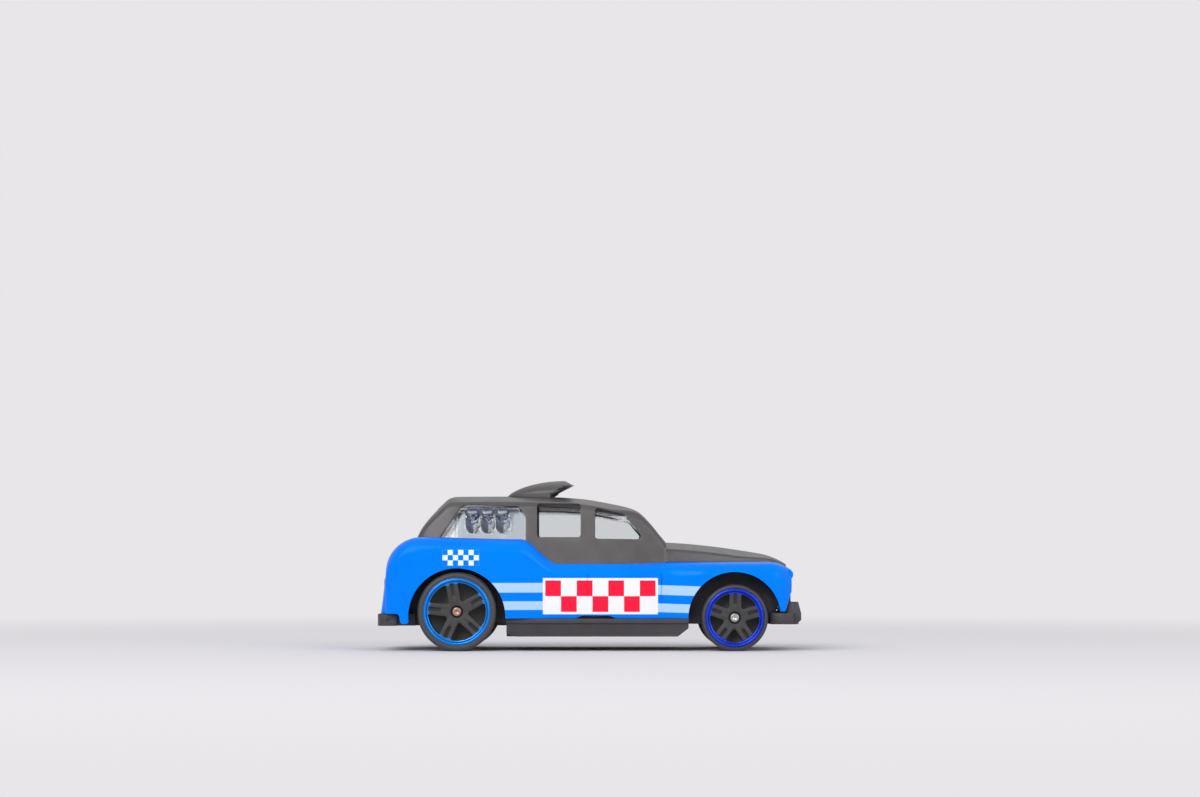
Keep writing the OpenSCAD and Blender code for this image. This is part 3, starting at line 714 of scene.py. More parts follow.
@dataclass(frozen=True)
class MouthShadePlastic(MouldedPlastic):
    """Moulded plastic with painted shade, a dark band along a slanted cut that sweeps back at both sides."""

    foot: Flat = (0.0, 0.0)
    slope: float = 1.0
    sweep: float = 0.0
    # Width of the band of painted shade, how far back it reaches, its ragged share and its colour
    rim: float = 0.6
    mouth_shade_back: float = 0.75
    ragged: Flat = (0.7, 1.15)
    mouth_shade_colour: Colour = tone(8, 8, 9)

    def paint(self, mix: Recipe, cloud: Value) -> bpy.types.NodeSocket:
        """The plastic's colour, with painted shade where it is near the cut.

        Args:
            mix: The material that is being built.
            cloud: Soft random values.

        Returns:
            The colour socket.
        """
        foot_x, foot_z = self.foot
        # Painted shade: a ragged dark band along the slanted cut, for the shade inside the scoop past its lip
        back = mix.math("MULTIPLY", mix.math("MULTIPLY", mix.y, mix.y), self.sweep)
        along = mix.math("SUBTRACT", mix.math("ADD", mix.x, back), foot_x)
        line = mix.math("ADD", mix.math("MULTIPLY", along, self.slope), foot_z)
        width = mix.noise_to(mix.noise(2.5, 2.0), *[self.rim * share for share in self.ragged])
        near = mix.under(mix.math("SUBTRACT", mix.z, line), width, 0.06)
        mouth = mix.both(near, mix.over(mix.x, foot_x - self.mouth_shade_back))
        return mix.mix(mouth, super().paint(mix, cloud), self.mouth_shade_colour)


@dataclass(frozen=True)
class Check:
    """A block of squares on the car's side, from its lower back corner."""

    x: float
    z: float
    square: float
    columns: int
    rows: int

    def panel(self, mix: Recipe, grow: float = 0.0) -> bpy.types.NodeSocket:
        """The whole block.

        Args:
            mix: The material that is being built.
            grow: How far it is widened all round.

        Returns:
            1 inside it.
        """
        return mix.both(
            mix.band(mix.x, self.x - grow, self.x + self.square * self.columns + grow),
            mix.band(mix.z, self.z - grow, self.z + self.square * self.rows + grow),
        )

    def squares(self, mix: Recipe) -> bpy.types.NodeSocket:
        """The printed squares.

        Args:
            mix: The material that is being built.

        Returns:
            1 on every other square of the block.
        """
        column, row = [
            mix.math("FLOOR", mix.math("DIVIDE", mix.math("SUBTRACT", value, start), self.square))
            for value, start in ((mix.x, self.x), (mix.z, self.z))
        ]
        return mix.both(self.panel(mix), mix.math("PINGPONG", mix.math("ADD", column, row), 1.0))


@dataclass(frozen=True)
class Enamel:
    """Blue enamel with two pale stripes, a taxi check and a small check strip printed on it."""

    blue: Colour = tone(0, 126, 255)
    deep: float = 0.93
    sheen: Colour = tone(30, 160, 255)
    pale: Colour = tone(174, 208, 252)
    ground: Colour = tone(240, 240, 246)
    red: Colour = tone(250, 24, 52)
    white: Colour = tone(225, 238, 252)
    silver: Colour = tone(205, 208, 214)
    tail_red: Colour = tone(200, 16, 28)
    gloss: Flat = (0.26, 0.34)
    peel: float = 0.004
    side_y: float = 11.8
    stripes: tuple[Flat, Flat] = ((9.66, 11.24), (6.8, 8.22))
    stripe_fall: float = 0.032
    stripe_x: Flat = (-17.0, 19.2)
    check: Check = Check(-7.3, 6.45, 2.6, 7, 2)
    check_edge: float = 0.38
    strip: Check = Check(-24.2, 14.1, 0.86, 7, 3)
    lamp: Place = (33.0, 9.2, 10.9)
    lamp_r: float = 1.1
    tail_lamp: Place = (-33.0, 9.2, 10.9)
    tail_lamp_r: float = 0.95

    def lens(self, mix: Recipe, place: Place, radius: float) -> bpy.types.NodeSocket:
        """A pair of lamp lenses, seen along the car.

        Args:
            mix: The material that is being built.
            place: Middle of the left lens.
            radius: Its radius.

        Returns:
            1 in line with a lens.
        """
        across = mix.math("SUBTRACT", mix.math("ABSOLUTE", mix.y), place[1])
        return mix.under(mix.reach(across, mix.math("SUBTRACT", mix.z, place[2])), radius)

    def material(self) -> bpy.types.Material:
        """Builds the material.

        Returns:
            A new material.
        """
        mix = Recipe("blue_enamel")
        side = mix.over(mix.math("ABSOLUTE", mix.y), self.side_y)
        cloud = mix.noise(0.12, 3.0)
        colour = mix.mix(mix.spread(cloud, 0.35, 0.65, 0.0, 1.0), shaded(self.blue, self.deep), self.blue)

        ahead = mix.math("MAXIMUM", mix.x, 0.0)
        level = mix.math("ADD", mix.z, mix.math("MULTIPLY", ahead, self.stripe_fall))
        along = mix.both(side, mix.band(mix.x, *self.stripe_x))
        for low, high in self.stripes:
            colour = mix.mix(mix.both(along, mix.band(level, low, high)), colour, self.pale)

        colour = mix.mix(mix.both(side, self.check.panel(mix, self.check_edge)), colour, self.ground)
        colour = mix.mix(mix.both(side, self.check.squares(mix)), colour, self.red)
        colour = mix.mix(mix.both(side, self.strip.squares(mix)), colour, self.white)

        front = mix.both(mix.over(mix.x, self.lamp[0]), self.lens(mix, self.lamp, self.lamp_r))
        colour = mix.mix(front, colour, self.silver)
        rear_lens = self.lens(mix, self.tail_lamp, self.tail_lamp_r)
        rear = mix.both(mix.under(mix.x, self.tail_lamp[0]), rear_lens)
        colour = mix.mix(rear, colour, self.tail_red)

        return mix.coat({
            "Base Color": colour,
            "Roughness": mix.noise_to(cloud, *self.gloss),
            "Metallic": mix.math("MULTIPLY", front, 0.8),
            "IOR": 1.5,
            "Specular IOR Level": 0.35,
            "Specular Tint": self.sheen,
            "Coat Weight": 0.08,
            "Coat Roughness": 0.1,
            "Normal": mix.bump(mix.noise(2.2, 2.0), self.peel),
        })


@dataclass(frozen=True)
class ClearMoulding:
    """Clear moulded plastic with faint flow marks, tinted by its colour, with painted shade that darkens it
    above a height.
    """

    name: str
    colour: Colour
    roughness: float = 0.04
    flow: float = 0.006
    bend: float = 1.03
    gloss: float = 0.5
    painted_shade: Colour = tone(247, 249, 250)
    painted_shade_z: float = 99.0
    painted_shade_soft: float = 0.35

    def material(self) -> bpy.types.Material:
        """Builds the material.

        Returns:
            A new material.
        """
        mix = Recipe(self.name)
        flow = mix.noise(0.6, 2.0)
        # Painted shade: the colour turns darker above a height, for the shade at the moulding's top
        shader = mix.add("ShaderNodeBsdfPrincipled", {
            "Base Color": mix.mix(mix.over(mix.z, self.painted_shade_z, self.painted_shade_soft), self.colour, self.painted_shade),
            "Roughness": mix.noise_to(flow, self.roughness, self.roughness * 1.8),
            "IOR": self.bend,
            "Transmission Weight": 1.0,
            "Coat Weight": self.gloss,
            "Coat Roughness": 0.04,
            "Normal": mix.bump(flow, self.flow),
        })
        through = mix.add("ShaderNodeBsdfTransparent", {"Color": self.colour})
        shadow = mix.add("ShaderNodeLightPath", {}).outputs["Is Shadow Ray"]
        return mix.finish(mix.blend(shadow, shader, through))


@dataclass(frozen=True)
class BrightMetal:
    """Bare wire or rivet metal with drawn lines and a warm or cold tint."""

    name: str
    colour: Colour
    roughness: float = 0.3
    smoother: float = 0.08
    rougher: float = 0.1
    tarnish: float = 0.7

    def material(self) -> bpy.types.Material:
        """Builds the material.

        Returns:
            A new material.
        """
        mix = Recipe(self.name)
        cloud = mix.noise_to(mix.noise(1.4, 4.0), 0.0, 1.0)
        scratch = mix.noise(14.0, 2.0)
        return mix.coat({
            "Base Color": mix.mix(cloud, shaded(self.colour, self.tarnish), self.colour),
            "Metallic": 1.0,
            "Roughness": mix.noise_to(scratch, self.roughness - self.smoother, self.roughness + self.rougher),
            "Normal": mix.bump(scratch, 0.006),
        })


@dataclass(frozen=True)
class FoilWheel:
    """Black wheel plastic with a bright coloured foil on the rim's band, and painted shade in its recesses.
    """

    axle: AxlePlace
    foil: Colour
    band: Flat
    phase: float
    spokes: int
    ragged: Flat = (0.34, 0.2)
    lap: float = 0.22
    lap_at: Flat = (0.42, 0.95)
    lap_soft: float = 0.12
    foil_depth: float = 0.56
    foil_metal: float = 0.5
    foil_polish: float = 0.28
    # Where the painted shade in the recesses starts: depth from the outer face, softness, and distance inside
    # the foil's band
    hollow_depth: float = 0.62
    hollow_soft: float = 0.05
    hollow_rim: float = 0.1
    plastic: Colour = tone(52, 50, 51)
    tyre: Colour = tone(62, 60, 60)
    # Colour of the painted shade in the recesses
    painted_shade: Colour = tone(16, 16, 17)
    worn: float = 1.5
    dull: Flat = (0.42, 0.58)

    def foil_mask(self, mix: Recipe, wide: Value, radius: Value, turn: Value) -> bpy.types.NodeSocket:
        """The foil's band, which laps over the spokes' ends.

        Args:
            mix: The material that is being built.
            wide: Distance from the car's middle.
            radius: Distance from the axle.
            turn: Angle round the axle.

        Returns:
            1 on the foil.
        """
        inner, outer = self.band
        pitch = 2 * math.pi / self.spokes
        fold = mix.math("SUBTRACT", mix.math("MODULO", turn, pitch), pitch / 2)
        off_spoke = mix.math("ABSOLUTE", mix.math("MULTIPLY", mix.math("SINE", fold), radius))
        edge = mix.noise_to(mix.noise(1.1, 3.0, 0.7), *[inner - depth for depth in self.ragged])
        laps = mix.math("MULTIPLY", mix.band(off_spoke, *self.lap_at, self.lap_soft), self.lap)
        front = mix.over(wide, self.axle.face - self.foil_depth, 0.01)
        return mix.both(front, mix.over(radius, mix.math("SUBTRACT", edge, laps)), mix.under(radius, outer))

    def material(self) -> bpy.types.Material:
        """Builds the material.

        Returns:
            A new material.
        """
        mix = Recipe(f"{self.axle.name}_wheel_foil")
        inner, outer = self.band
        wide = mix.math("ABSOLUTE", mix.y)
        facing = mix.math("MULTIPLY", mix.math("SIGN", mix.y), -1.0)
        out = mix.math("SUBTRACT", mix.x, self.axle.x)
        up = mix.math("MULTIPLY", mix.math("SUBTRACT", mix.z, self.axle.radius), facing)
        radius = mix.reach(out, up)
        start = math.radians(self.phase) - 2 * math.pi * (1 + 0.5 / self.spokes)
        turn = mix.math("SUBTRACT", mix.math("ARCTAN2", up, out), start)
        foil = self.foil_mask(mix, wide, radius, turn)

        cloud = mix.noise(0.5, 4.0)
        grain = mix.noise(9.0, 2.0)
        body = mix.mix(mix.over(radius, outer + 0.05), self.plastic, self.tyre)
        body = mix.mix(mix.spread(cloud, 0.45, 0.75, 0.0, 0.5), body, shaded(self.plastic, self.worn))
        # Painted shade: the wheel goes dark where it lies deeper than the dish floor, inside the foil's band
        hollow = mix.both(
            mix.under(wide, self.axle.face - self.hollow_depth, self.hollow_soft),
            mix.under(radius, inner - self.hollow_rim),
        )
        body = mix.mix(hollow, body, self.painted_shade)
        polish = mix.math("MULTIPLY", foil, self.foil_polish)
        return mix.coat({
            "Base Color": mix.mix(foil, body, self.foil),
            "Metallic": mix.math("MULTIPLY", foil, self.foil_metal),
            "Roughness": mix.math("SUBTRACT", mix.wear(cloud, grain, *self.dull), polish),
            "IOR": PLASTIC_IOR,
            "Normal": mix.bump(grain, 0.006),
        })


@dataclass(frozen=True)
class BodyLines:
    """The lines that the lower shell, the cabin and what stands on them share."""

    haunch_w: float = 29.2
    door_w: float = 26.4
    wing_w: float = 27.8
    cabin_w: float = 23.4
    haunch_z: float = 18.8
    belt_z: float = 14.65
    roof_z: float = 25.7
    scuttle_z: float = 18.05
    cabin_lean: float = 11.0
    roof_edge_r: float = 1.6
    roof_crown: float = 0.9
    screen_crown: float = 0.25
    crown_share: float = 0.15
    edge_share: float = 0.35
    flat_start: float = 3.7
    flat_run: float = 5.0
    skirt: float = 2.0
    tail_body_x: float = -34.5
    tail_low_z: float = 6.15
    tail_lean: float = 0.8
    tail_tuck: float = 1.3
    tail_foot: float = 0.6
    tail_arc_l: float = 6.0
    tail_arc_z: float = 13.1
    tail_pinch: float = 1.7
    haunch_fall: float = 0.35
    ramp_x0: float = -11.45
    ramp_l: float = 6.2
    waist_run: float = 5.0
    wing_x0: float = 12.95
    wing_run: float = 7.0
    nose_body_x: float = 33.3
    nose_l: float = 3.3
    nose_drop: float = 1.2
    nose_pinch: float = 1.8
    cabin_back_x: float = -28.75
    b_pillar_x: float = -0.3
    screen_x: float = 12.7
    quarter_foot_x: Flat = (-24.65, -11.1)
    quarter_foot_z: float = 18.1
    quarter_front: tuple[Flat, Flat] = ((-11.1, 22.1), (-12.05, 23.43))
    quarter_back: tuple[Flat, Flat] = ((-20.3, 23.8), (-21.0, 23.5))
    corner_r: float = 0.5
    step: float = 0.55

    @property
    def tail_arc_x(self) -> float:
        """Where the tail's arc meets the haunch."""
        return self.tail_body_x + self.tail_lean + self.tail_arc_l

    @property
    def nose_arc_x(self) -> float:
        """Where the nose starts to fall away."""
        return self.nose_body_x - self.nose_l

    def haunch_top(self, x: float, inset: float = 0.0) -> float:
        """Height of the lower shell between the tail and the nose.

        Args:
            x: Place along the car.
            inset: How far inside the skin it is taken.

        Returns:
            The height.
        """
        fall = self.haunch_fall * ease((x - self.tail_arc_x) / (self.ramp_x0 - self.tail_arc_x))
        ramp = (self.haunch_z - self.haunch_fall - self.belt_z) * ease((x - self.ramp_x0) / self.ramp_l)
        return self.haunch_z - inset - fall - ramp

    def side_half(self, x: float, inset: float = 0.0) -> float:
        """Half width of the lower shell between the tail and the nose.

        Args:
            x: Place along the car.
            inset: How far inside the skin it is taken.

        Returns:
            The half width.
        """
        narrowing = ease((x - self.ramp_x0 + self.waist_run) / (self.ramp_l + self.waist_run))
        waist = (self.haunch_w - self.door_w) / 2 * narrowing
        wing = (self.wing_w - self.door_w) / 2 * ease((x - self.wing_x0) / self.wing_run)
        return self.haunch_w / 2 - inset - waist + wing

    def deck(self, x: float) -> float:
        """Height of the lower shell's deck, on which the upper shell stands.

        Args:
            x: Place along the car.

        Returns:
            The height.
        """
        if x > self.nose_arc_x:
            return self.belt_z - self.nose_drop * ((x - self.nose_arc_x) / self.nose_l) ** 2
        return self.haunch_top(x)

    def lower_rows(self, inset: float) -> list[Place]:
        """Stations of the lower shell.

        Args:
            inset: How far inside the skin they lie.

        Returns:
            Place along the car, half width and height of each.
        """
        half = self.haunch_w / 2 - inset
        arc_l = self.tail_arc_l - inset
        rise = self.haunch_z - self.tail_arc_z - inset
        rows: list[Place] = []
        foot_half = half - self.tail_pinch - self.tail_tuck
        foot = (self.tail_body_x + inset, foot_half, self.tail_low_z + self.tail_foot)
        spring = (self.tail_arc_x - arc_l, half - self.tail_pinch, self.tail_arc_z)
        for t in spaced(0.0, 1.0, 8)[:-1]:
            rows.append(tuple(a + (b - a) * t for a, b in zip(foot, spring)))
        for degrees in spaced(0.0, 90.0, 24)[:-1]:
            t = math.radians(degrees)
            rows.append((
                self.tail_arc_x - arc_l * math.cos(t),
                half - self.tail_pinch * (1 - math.sin(t)),
                self.tail_arc_z + rise * math.sin(t),
            ))
        start = self.nose_arc_x - inset
        for x in spaced(self.tail_arc_x, start, round((start - self.tail_arc_x) / self.step))[:-1]:
            rows.append((x, self.side_half(x, inset), self.haunch_top(x, inset)))
        for t in spaced(0.0, 1.0, 12):
            x = start + self.nose_l * t
            rows.append((
                x,
                self.side_half(x, inset) - self.nose_pinch * t * t,
                self.belt_z - inset - self.nose_drop * t * t,
            ))
        return rows

    def cabin_rows(self, inset: float) -> list[list[float]]:
        """Stations of the cabin.

        Args:
            inset: How far inside the skin they lie.

        Returns:
            Place along the car, how far the side is drawn in, and height of each.
        """
        back = self.cabin_back_x
        pillar = self.b_pillar_x
        screen = self.screen_x
        roof = self.roof_z
        d = inset
        rows = [
            (back + 1.2 * d, 1.8, self.haunch_z + 0.1),
            (back + 0.75 + 1.2 * d, 1.0, self.haunch_z + 1.85),
            (back + 4.2 + 1.1 * d, 0.25, roof - 1.1 - 0.2 * d),
            (back + 5.1 + 0.8 * d, 0.1, roof - 0.35 - 0.6 * d),
            (back + 6.3 + 0.4 * d, 0.0, roof - 0.05 - d),
            (pillar - 12, 0.0, roof - d),
            (pillar - 8, 0.0, roof - 0.06 - d),
            (pillar - 5, 0.0, roof - 0.14 - d),
            (pillar - 1, 0.0, roof - 0.42 - d),
            (pillar + 3.7, 0.0, roof - 1.2 - d),
            (screen - 6.4 - 0.2 * d, 0.05, roof - 1.85 - d),
            (screen - 4.8 - 0.4 * d, 0.1, roof - 2.45 - d),
            (screen - 3.5 - 0.9 * d, 0.2, roof - 3.5 - 0.7 * d),
            (screen - 1.3 * d, 0.5, self.scuttle_z),
        ]
        return smooth_rows(rows, self.step)

    def quarter(self, inset: float) -> list[Flat]:
        """The quarter opening's outline in side view.

        Args:
            inset: How far its ends and its top are drawn in.

        Returns:
            The outline in X and Z, counter-clockwise.
        """
        back, front = self.quarter_foot_x
        corners = [
            (back + inset, self.quarter_foot_z),
            (front - inset, self.quarter_foot_z),
            *[(x - inset, z - inset) for x, z in self.quarter_front],
            *[(x + inset, z - inset) for x, z in self.quarter_back],
        ]
        return rounded(corners, self.corner_r)

    def domed_ring(
        self, x: float, foot: float, low: float, top: float, crown: float, radius: float
    ) -> list[Place]:
        """A section with leaning sides, rounded edges and a crowned top.

        Args:
            x: Place along the car.
            foot: Half width at the lower edge.
            low: Height of the lower edge.
            top: Height of the crown.
            crown: Rise of the crown over the edges.
            radius: Radius of the edges.

        Returns:
            The ring.
        """
        lean = math.radians(self.cabin_lean)
        edge_z = top - crown
        middle = foot - (radius - math.sin(lean) * (low - edge_z + radius)) / math.cos(lean)
        curve = arc((middle, edge_z - radius), radius, self.cabin_lean, 90.0, 8)
        side_y, side_z = curve[0]
        side_shares = spaced(0.0, 1.0, 10)[:-1]
        side = [(foot + (side_y - foot) * t, low + (side_z - low) * t) for t in side_shares]
        roof = [(middle * (1 - t), top - crown * (1 - t) ** 2) for t in spaced(0.0, 1.0, 8)[1:]]
        return [(x, y, z) for y, z in whole([*side, *curve, *roof])]

    def cabin(self, name: str, inset: float, drop: float) -> bpy.types.Object:
        """The cabin as a solid.

        Args:
            name: The new object's name.
            inset: How far inside the skin it lies.
            drop: How far it reaches down below the deck.

        Returns:
            The solid.
        """
        rings = []
        lean = math.radians(self.cabin_lean)
        for x, pinch, top in self.cabin_rows(inset):
            deck = max(self.deck(x), self.belt_z)
            low = deck - drop
            height = top - deck + self.skirt
            flat = ease((x - self.b_pillar_x - self.flat_start) / self.flat_run)
            full_crown = self.roof_crown - (self.roof_crown - self.screen_crown) * flat
            crown = min(full_crown, height * self.crown_share)
            radius = max(0.2, min(self.roof_edge_r, height * self.edge_share) - inset)
            spread = (self.belt_z - low) * math.tan(lean)
            foot = self.cabin_w / 2 - pinch - inset / math.cos(lean) + spread
            rings.append(self.domed_ring(x, foot, low, top, crown, radius))
        return skin(name, rings)


@dataclass
class LowerShell:
    """The blue lower body with wings, doors, tail and lamps."""

    lines: BodyLines = BodyLines()
    finish: Enamel = Enamel()
    # Dark grey for the shell's inner faces: bare casting, with painted shade for the dark inside of the body
    bare_and_shade: MouldedPlastic = MouldedPlastic("bare_casting_and_shade", tone(70, 71, 74), 0.55)
    wall: float = 1.2
    spare: float = 1.0
    shoulder_r: float = 2.5
    side_tuck: float = 0.5
    waist_z: float = 9.8
    floor_z: float = 3.4
    sill_z: float = 5.4
    tab_x0: float = -31.7
    tab_z: float = 4.5
    tab_r: float = 0.5
    tab_lip: Flat = (0.35, 0.25)
    tab_gap: float = 0.05
    notch_l: float = 6.6
    notch_h: float = 0.45
    notch_run: float = 1.0
    past_tail: float = 1.8
    past_nose: float = 2.7
    wing_low_z: float = 6.55
    nose_tuck: float = 1.0
    nose_tuck_z: float = 9.6
    arches: tuple[Place, Place] = ((REAR.x, 5.65, 8.0), (FRONT.x, 5.39, 7.66))
    door_lines: Flat = (-0.3, 11.9)
    door_line_w: float = 0.25
    door_line_depth: float = 0.2
    door_line_foot: float = 0.6
    lamp_y: float = 9.2
    lamp_z: float = 10.9
    lamp_r: float = 1.5
    lamp_sunk: float = 0.05
    tail_lamp_r: float = 1.1
    tail_lamp_in: float = 0.7
    lamp_base: float = 0.5
    lamp_dome: float = 0.22
    lamp_rim_r: float = 0.16
    lamp_rim_z: float = 0.1
    brow_w: float = 4.4
    brow_h: float = 1.7
    brow_proud: float = 0.4
    brow_slope: float = 0.55
    brow_root: float = 0.5
    grille_half: float = 3.7
    grille_top: float = 12.55
    grille_r: float = 0.5
    grille_back: float = 3.0
    fit: float = 0.1
    rounding: float = 0.12

    def solid(self, name: str, inset: float, low: float) -> bpy.types.Object:
        """The lower body's form as a solid.

        Args:
            name: The new object's name.
            inset: How far inside the skin it lies.
            low: Height of its flat underside.

        Returns:
            The solid.
        """
        shares = spaced(0.0, 1.0, 5)
        rings = []
        for x, half, top in self.lines.lower_rows(inset):
            radius = max(0.3, min(self.shoulder_r - inset / 2, (top - low) / 2))
            waist = min(self.waist_z, top - radius - 0.01)
            shoulder = top - radius
            section = [(half - self.side_tuck * (1 - t), low + (waist - low) * t) for t in shares]
            section += [(half, waist + (shoulder - waist) * t) for t in shares[1:-1]]
            section += arc((half - radius, shoulder), radius, 0.0, 90.0, 10)
            section += [((half - radius) * (1 - t), top) for t in shares[1:]]
            rings.append([(x, y, z) for y, z in whole(section)])
        form = skin(name, rings)
        face = self.lines.nose_body_x - inset
        tucked = face - self.nose_tuck
        ahead = self.lines.nose_body_x + 3 * self.spare
        below = low - self.spare
        carve(form, self.through("tuck", [
            (face, self.nose_tuck_z), (tucked, self.wing_low_z), (tucked, below),
            (ahead, below), (ahead, self.nose_tuck_z),
        ]))
        return form

    def through(self, name: str, points: Sequence[Flat]) -> bpy.types.Object:
        """A flat shape in side view, made right through the car."""
        half = self.lines.haunch_w / 2 + self.spare
        return prism(name, [(x, -half, z) for x, z in points], (0, 2 * half, 0))

    def underside(self) -> bpy.types.Object:
        """What lies under the shell's lower edge, as a cutter.

        Returns:
            The solid.
        """
        (rear_x, _, rear_r), (front_x, _, _) = self.arches
        mid = (rear_x + front_x) / 2
        notch = self.notch_l / 2
        notch_z = self.sill_z + self.notch_h
        deep = self.floor_z - self.spare
        tail = self.lines.tail_body_x - self.past_tail
        nose = self.lines.nose_body_x + self.past_nose
        low = self.lines.tail_low_z
        foot_z = self.tab_z + self.tab_r
        lip_x, lip_z = self.tab_lip
        bend = arc((self.tab_x0 + 2 * self.tab_r, foot_z), self.tab_r, 180.0, 270.0, 6)
        bend += arc((rear_x - rear_r - self.tab_r + self.tab_gap, foot_z), self.tab_r, 270.0, 360.0, 6)
        return self.through("underside", [
            (tail, deep), (tail, low), (self.tab_x0, low), (self.tab_x0 + lip_x, low - lip_z), *bend,
            (rear_x, foot_z), (rear_x, self.sill_z),
            (mid - notch, self.sill_z), (mid - notch + self.notch_run, notch_z),
            (mid + notch - self.notch_run, notch_z), (mid + notch, self.sill_z),
            (front_x, self.sill_z), (front_x, self.wing_low_z), (nose, self.wing_low_z), (nose, deep),
        ])

    def lamp(self, name: str, place: Place, radius: float, way: int) -> bpy.types.Object:
        """A round lamp moulding with a raised rim and a domed lens.

        Args:
            name: The new object's name.
            place: Middle of the lamp's seat.
            radius: Its radius.
            way: 1 where it faces forward, -1 where it faces back.

        Returns:
            The finished solid.
        """
        edge = radius - 0.02
        rim = arc((edge - self.lamp_rim_r, self.lamp_rim_z), self.lamp_rim_r, 0.0, 180.0, 8)
        lens = dome(radius - self.lamp_base, self.lamp_dome, 9)
        profile = [(0.0, -self.lamp_base), (edge, -self.lamp_base), *rim, *lens]
        return smooth(turned(name, profile, place, (way, 0, 0)))

    def lamps(self) -> list[bpy.types.Object]:
        """The lamps of both sides.

        Returns:
            Headlamp and tail lamp of each side in turn.
        """
        nose = self.lines.nose_body_x - self.lamp_sunk
        tail = self.lines.tail_body_x + self.tail_lamp_in
        lamps = []
        for side in Side:
            y = side.value * self.lamp_y
            lamps.append(self.lamp("lamp", (nose, y, self.lamp_z), self.lamp_r, 1))
            lamps.append(self.lamp("tail_lamp", (tail, y, self.lamp_z), self.tail_lamp_r, -1))
        return lamps

    def brow(self) -> bpy.types.Object:
        """The brow over the right headlamp.

        Returns:
            The solid.
        """
        nose = self.lines.nose_body_x
        top = self.lines.belt_z - self.lines.nose_drop
        low = top - self.brow_h
        root = nose - self.brow_root
        proud = nose + self.brow_proud
        face = [
            (root, low), (nose, low), (proud, low + self.brow_slope),
            (proud, top - self.brow_slope), (nose, top), (root, top),
        ]
        start = -self.lamp_y - self.brow_w / 2
        return prism("brow", [(x, start, z) for x, z in face], (0, self.brow_w, 0))

    def grille_mouth(self) -> bpy.types.Object:
        """The opening for the grille, as a cutter.

        Returns:
            The solid.
        """
        start = self.lines.nose_body_x - self.grille_back
        corners = box((-self.grille_half, self.grille_half), (self.wing_low_z - self.spare, self.grille_top))
        face = [(start, y, z) for y, z in rounded(corners, self.grille_r)]
        return prism("mouth", face, (self.grille_back + 2 * self.spare, 0, 0))

    def door_line(self, x: float, side: Side) -> bpy.types.Object:
        """One shut line of a door, as a cutter.

        Args:
            x: Place along the car.
            side: The side that it is on.

        Returns:
            The solid.
        """
        y = side.value * (self.lines.door_w / 2 - self.door_line_depth)
        half = self.door_line_w / 2
        low = self.sill_z + self.door_line_foot
        top = low + self.lines.belt_z - self.sill_z - self.shoulder_r
        core = 0.02
        face = rounded(box((x - core, x + core), (low + half, top - half)), half - core, 3)
        return prism("door_line", [(u, y, v) for u, v in face], (0, side.value, 0))

    def build(self) -> bpy.types.Object:
        """Models the shell.

        Returns:
            The finished mesh.
        """
        shell = self.solid("lower_shell", 0.0, self.floor_z)
        brow = self.brow()
        carve(shell, copied(brow, "left_brow", across_car()), Carve.ADD)
        carve(shell, brow, Carve.ADD)
        carve(shell, self.solid("hollow", self.wall, self.floor_z - self.spare))
        carve(shell, self.lines.cabin("well", -self.fit, self.lines.skirt + self.spare))
        for x, z, radius in self.arches:
            carve(shell, self.through("arch", arc((x, z), radius, 0.0, 360.0, 120)[:-1]))
        carve(shell, self.underside())
        carve(shell, self.grille_mouth())
        for x in self.door_lines:
            for side in Side:
                carve(shell, self.door_line(x, side))
        soften(shell, self.rounding)
        return join(shell, self.lamps())

    def is_inside(self, place: Vector) -> bool:
        """Tells the inner side of the wall from the outer one.

        Args:
            place: A place on the shell, in metres.

        Returns:
            True on the inner side, between the rounded tail and nose.
        """
        x, y, z = place / MM
        deep = self.wall / 2
        if not self.lines.tail_arc_x + deep < x < self.lines.nose_arc_x - deep:
            return False
        return abs(y) < self.lines.side_half(x) - deep - self.side_tuck and z < self.lines.deck(x) - deep

    def dress(self) -> bpy.types.Object:
        """Builds the shell and gives it paint outside and, inside, dark grey for bare casting with painted
        shade.

        Returns:
            The piece.
        """
        shell = settle(self.build(), "car", ["lower_body"], self.finish.material())
        shell.data.materials.append(self.bare_and_shade.material())
        for face in shell.data.polygons:
            face.material_index = 1 if self.is_inside(face.center) else 0
        return shell


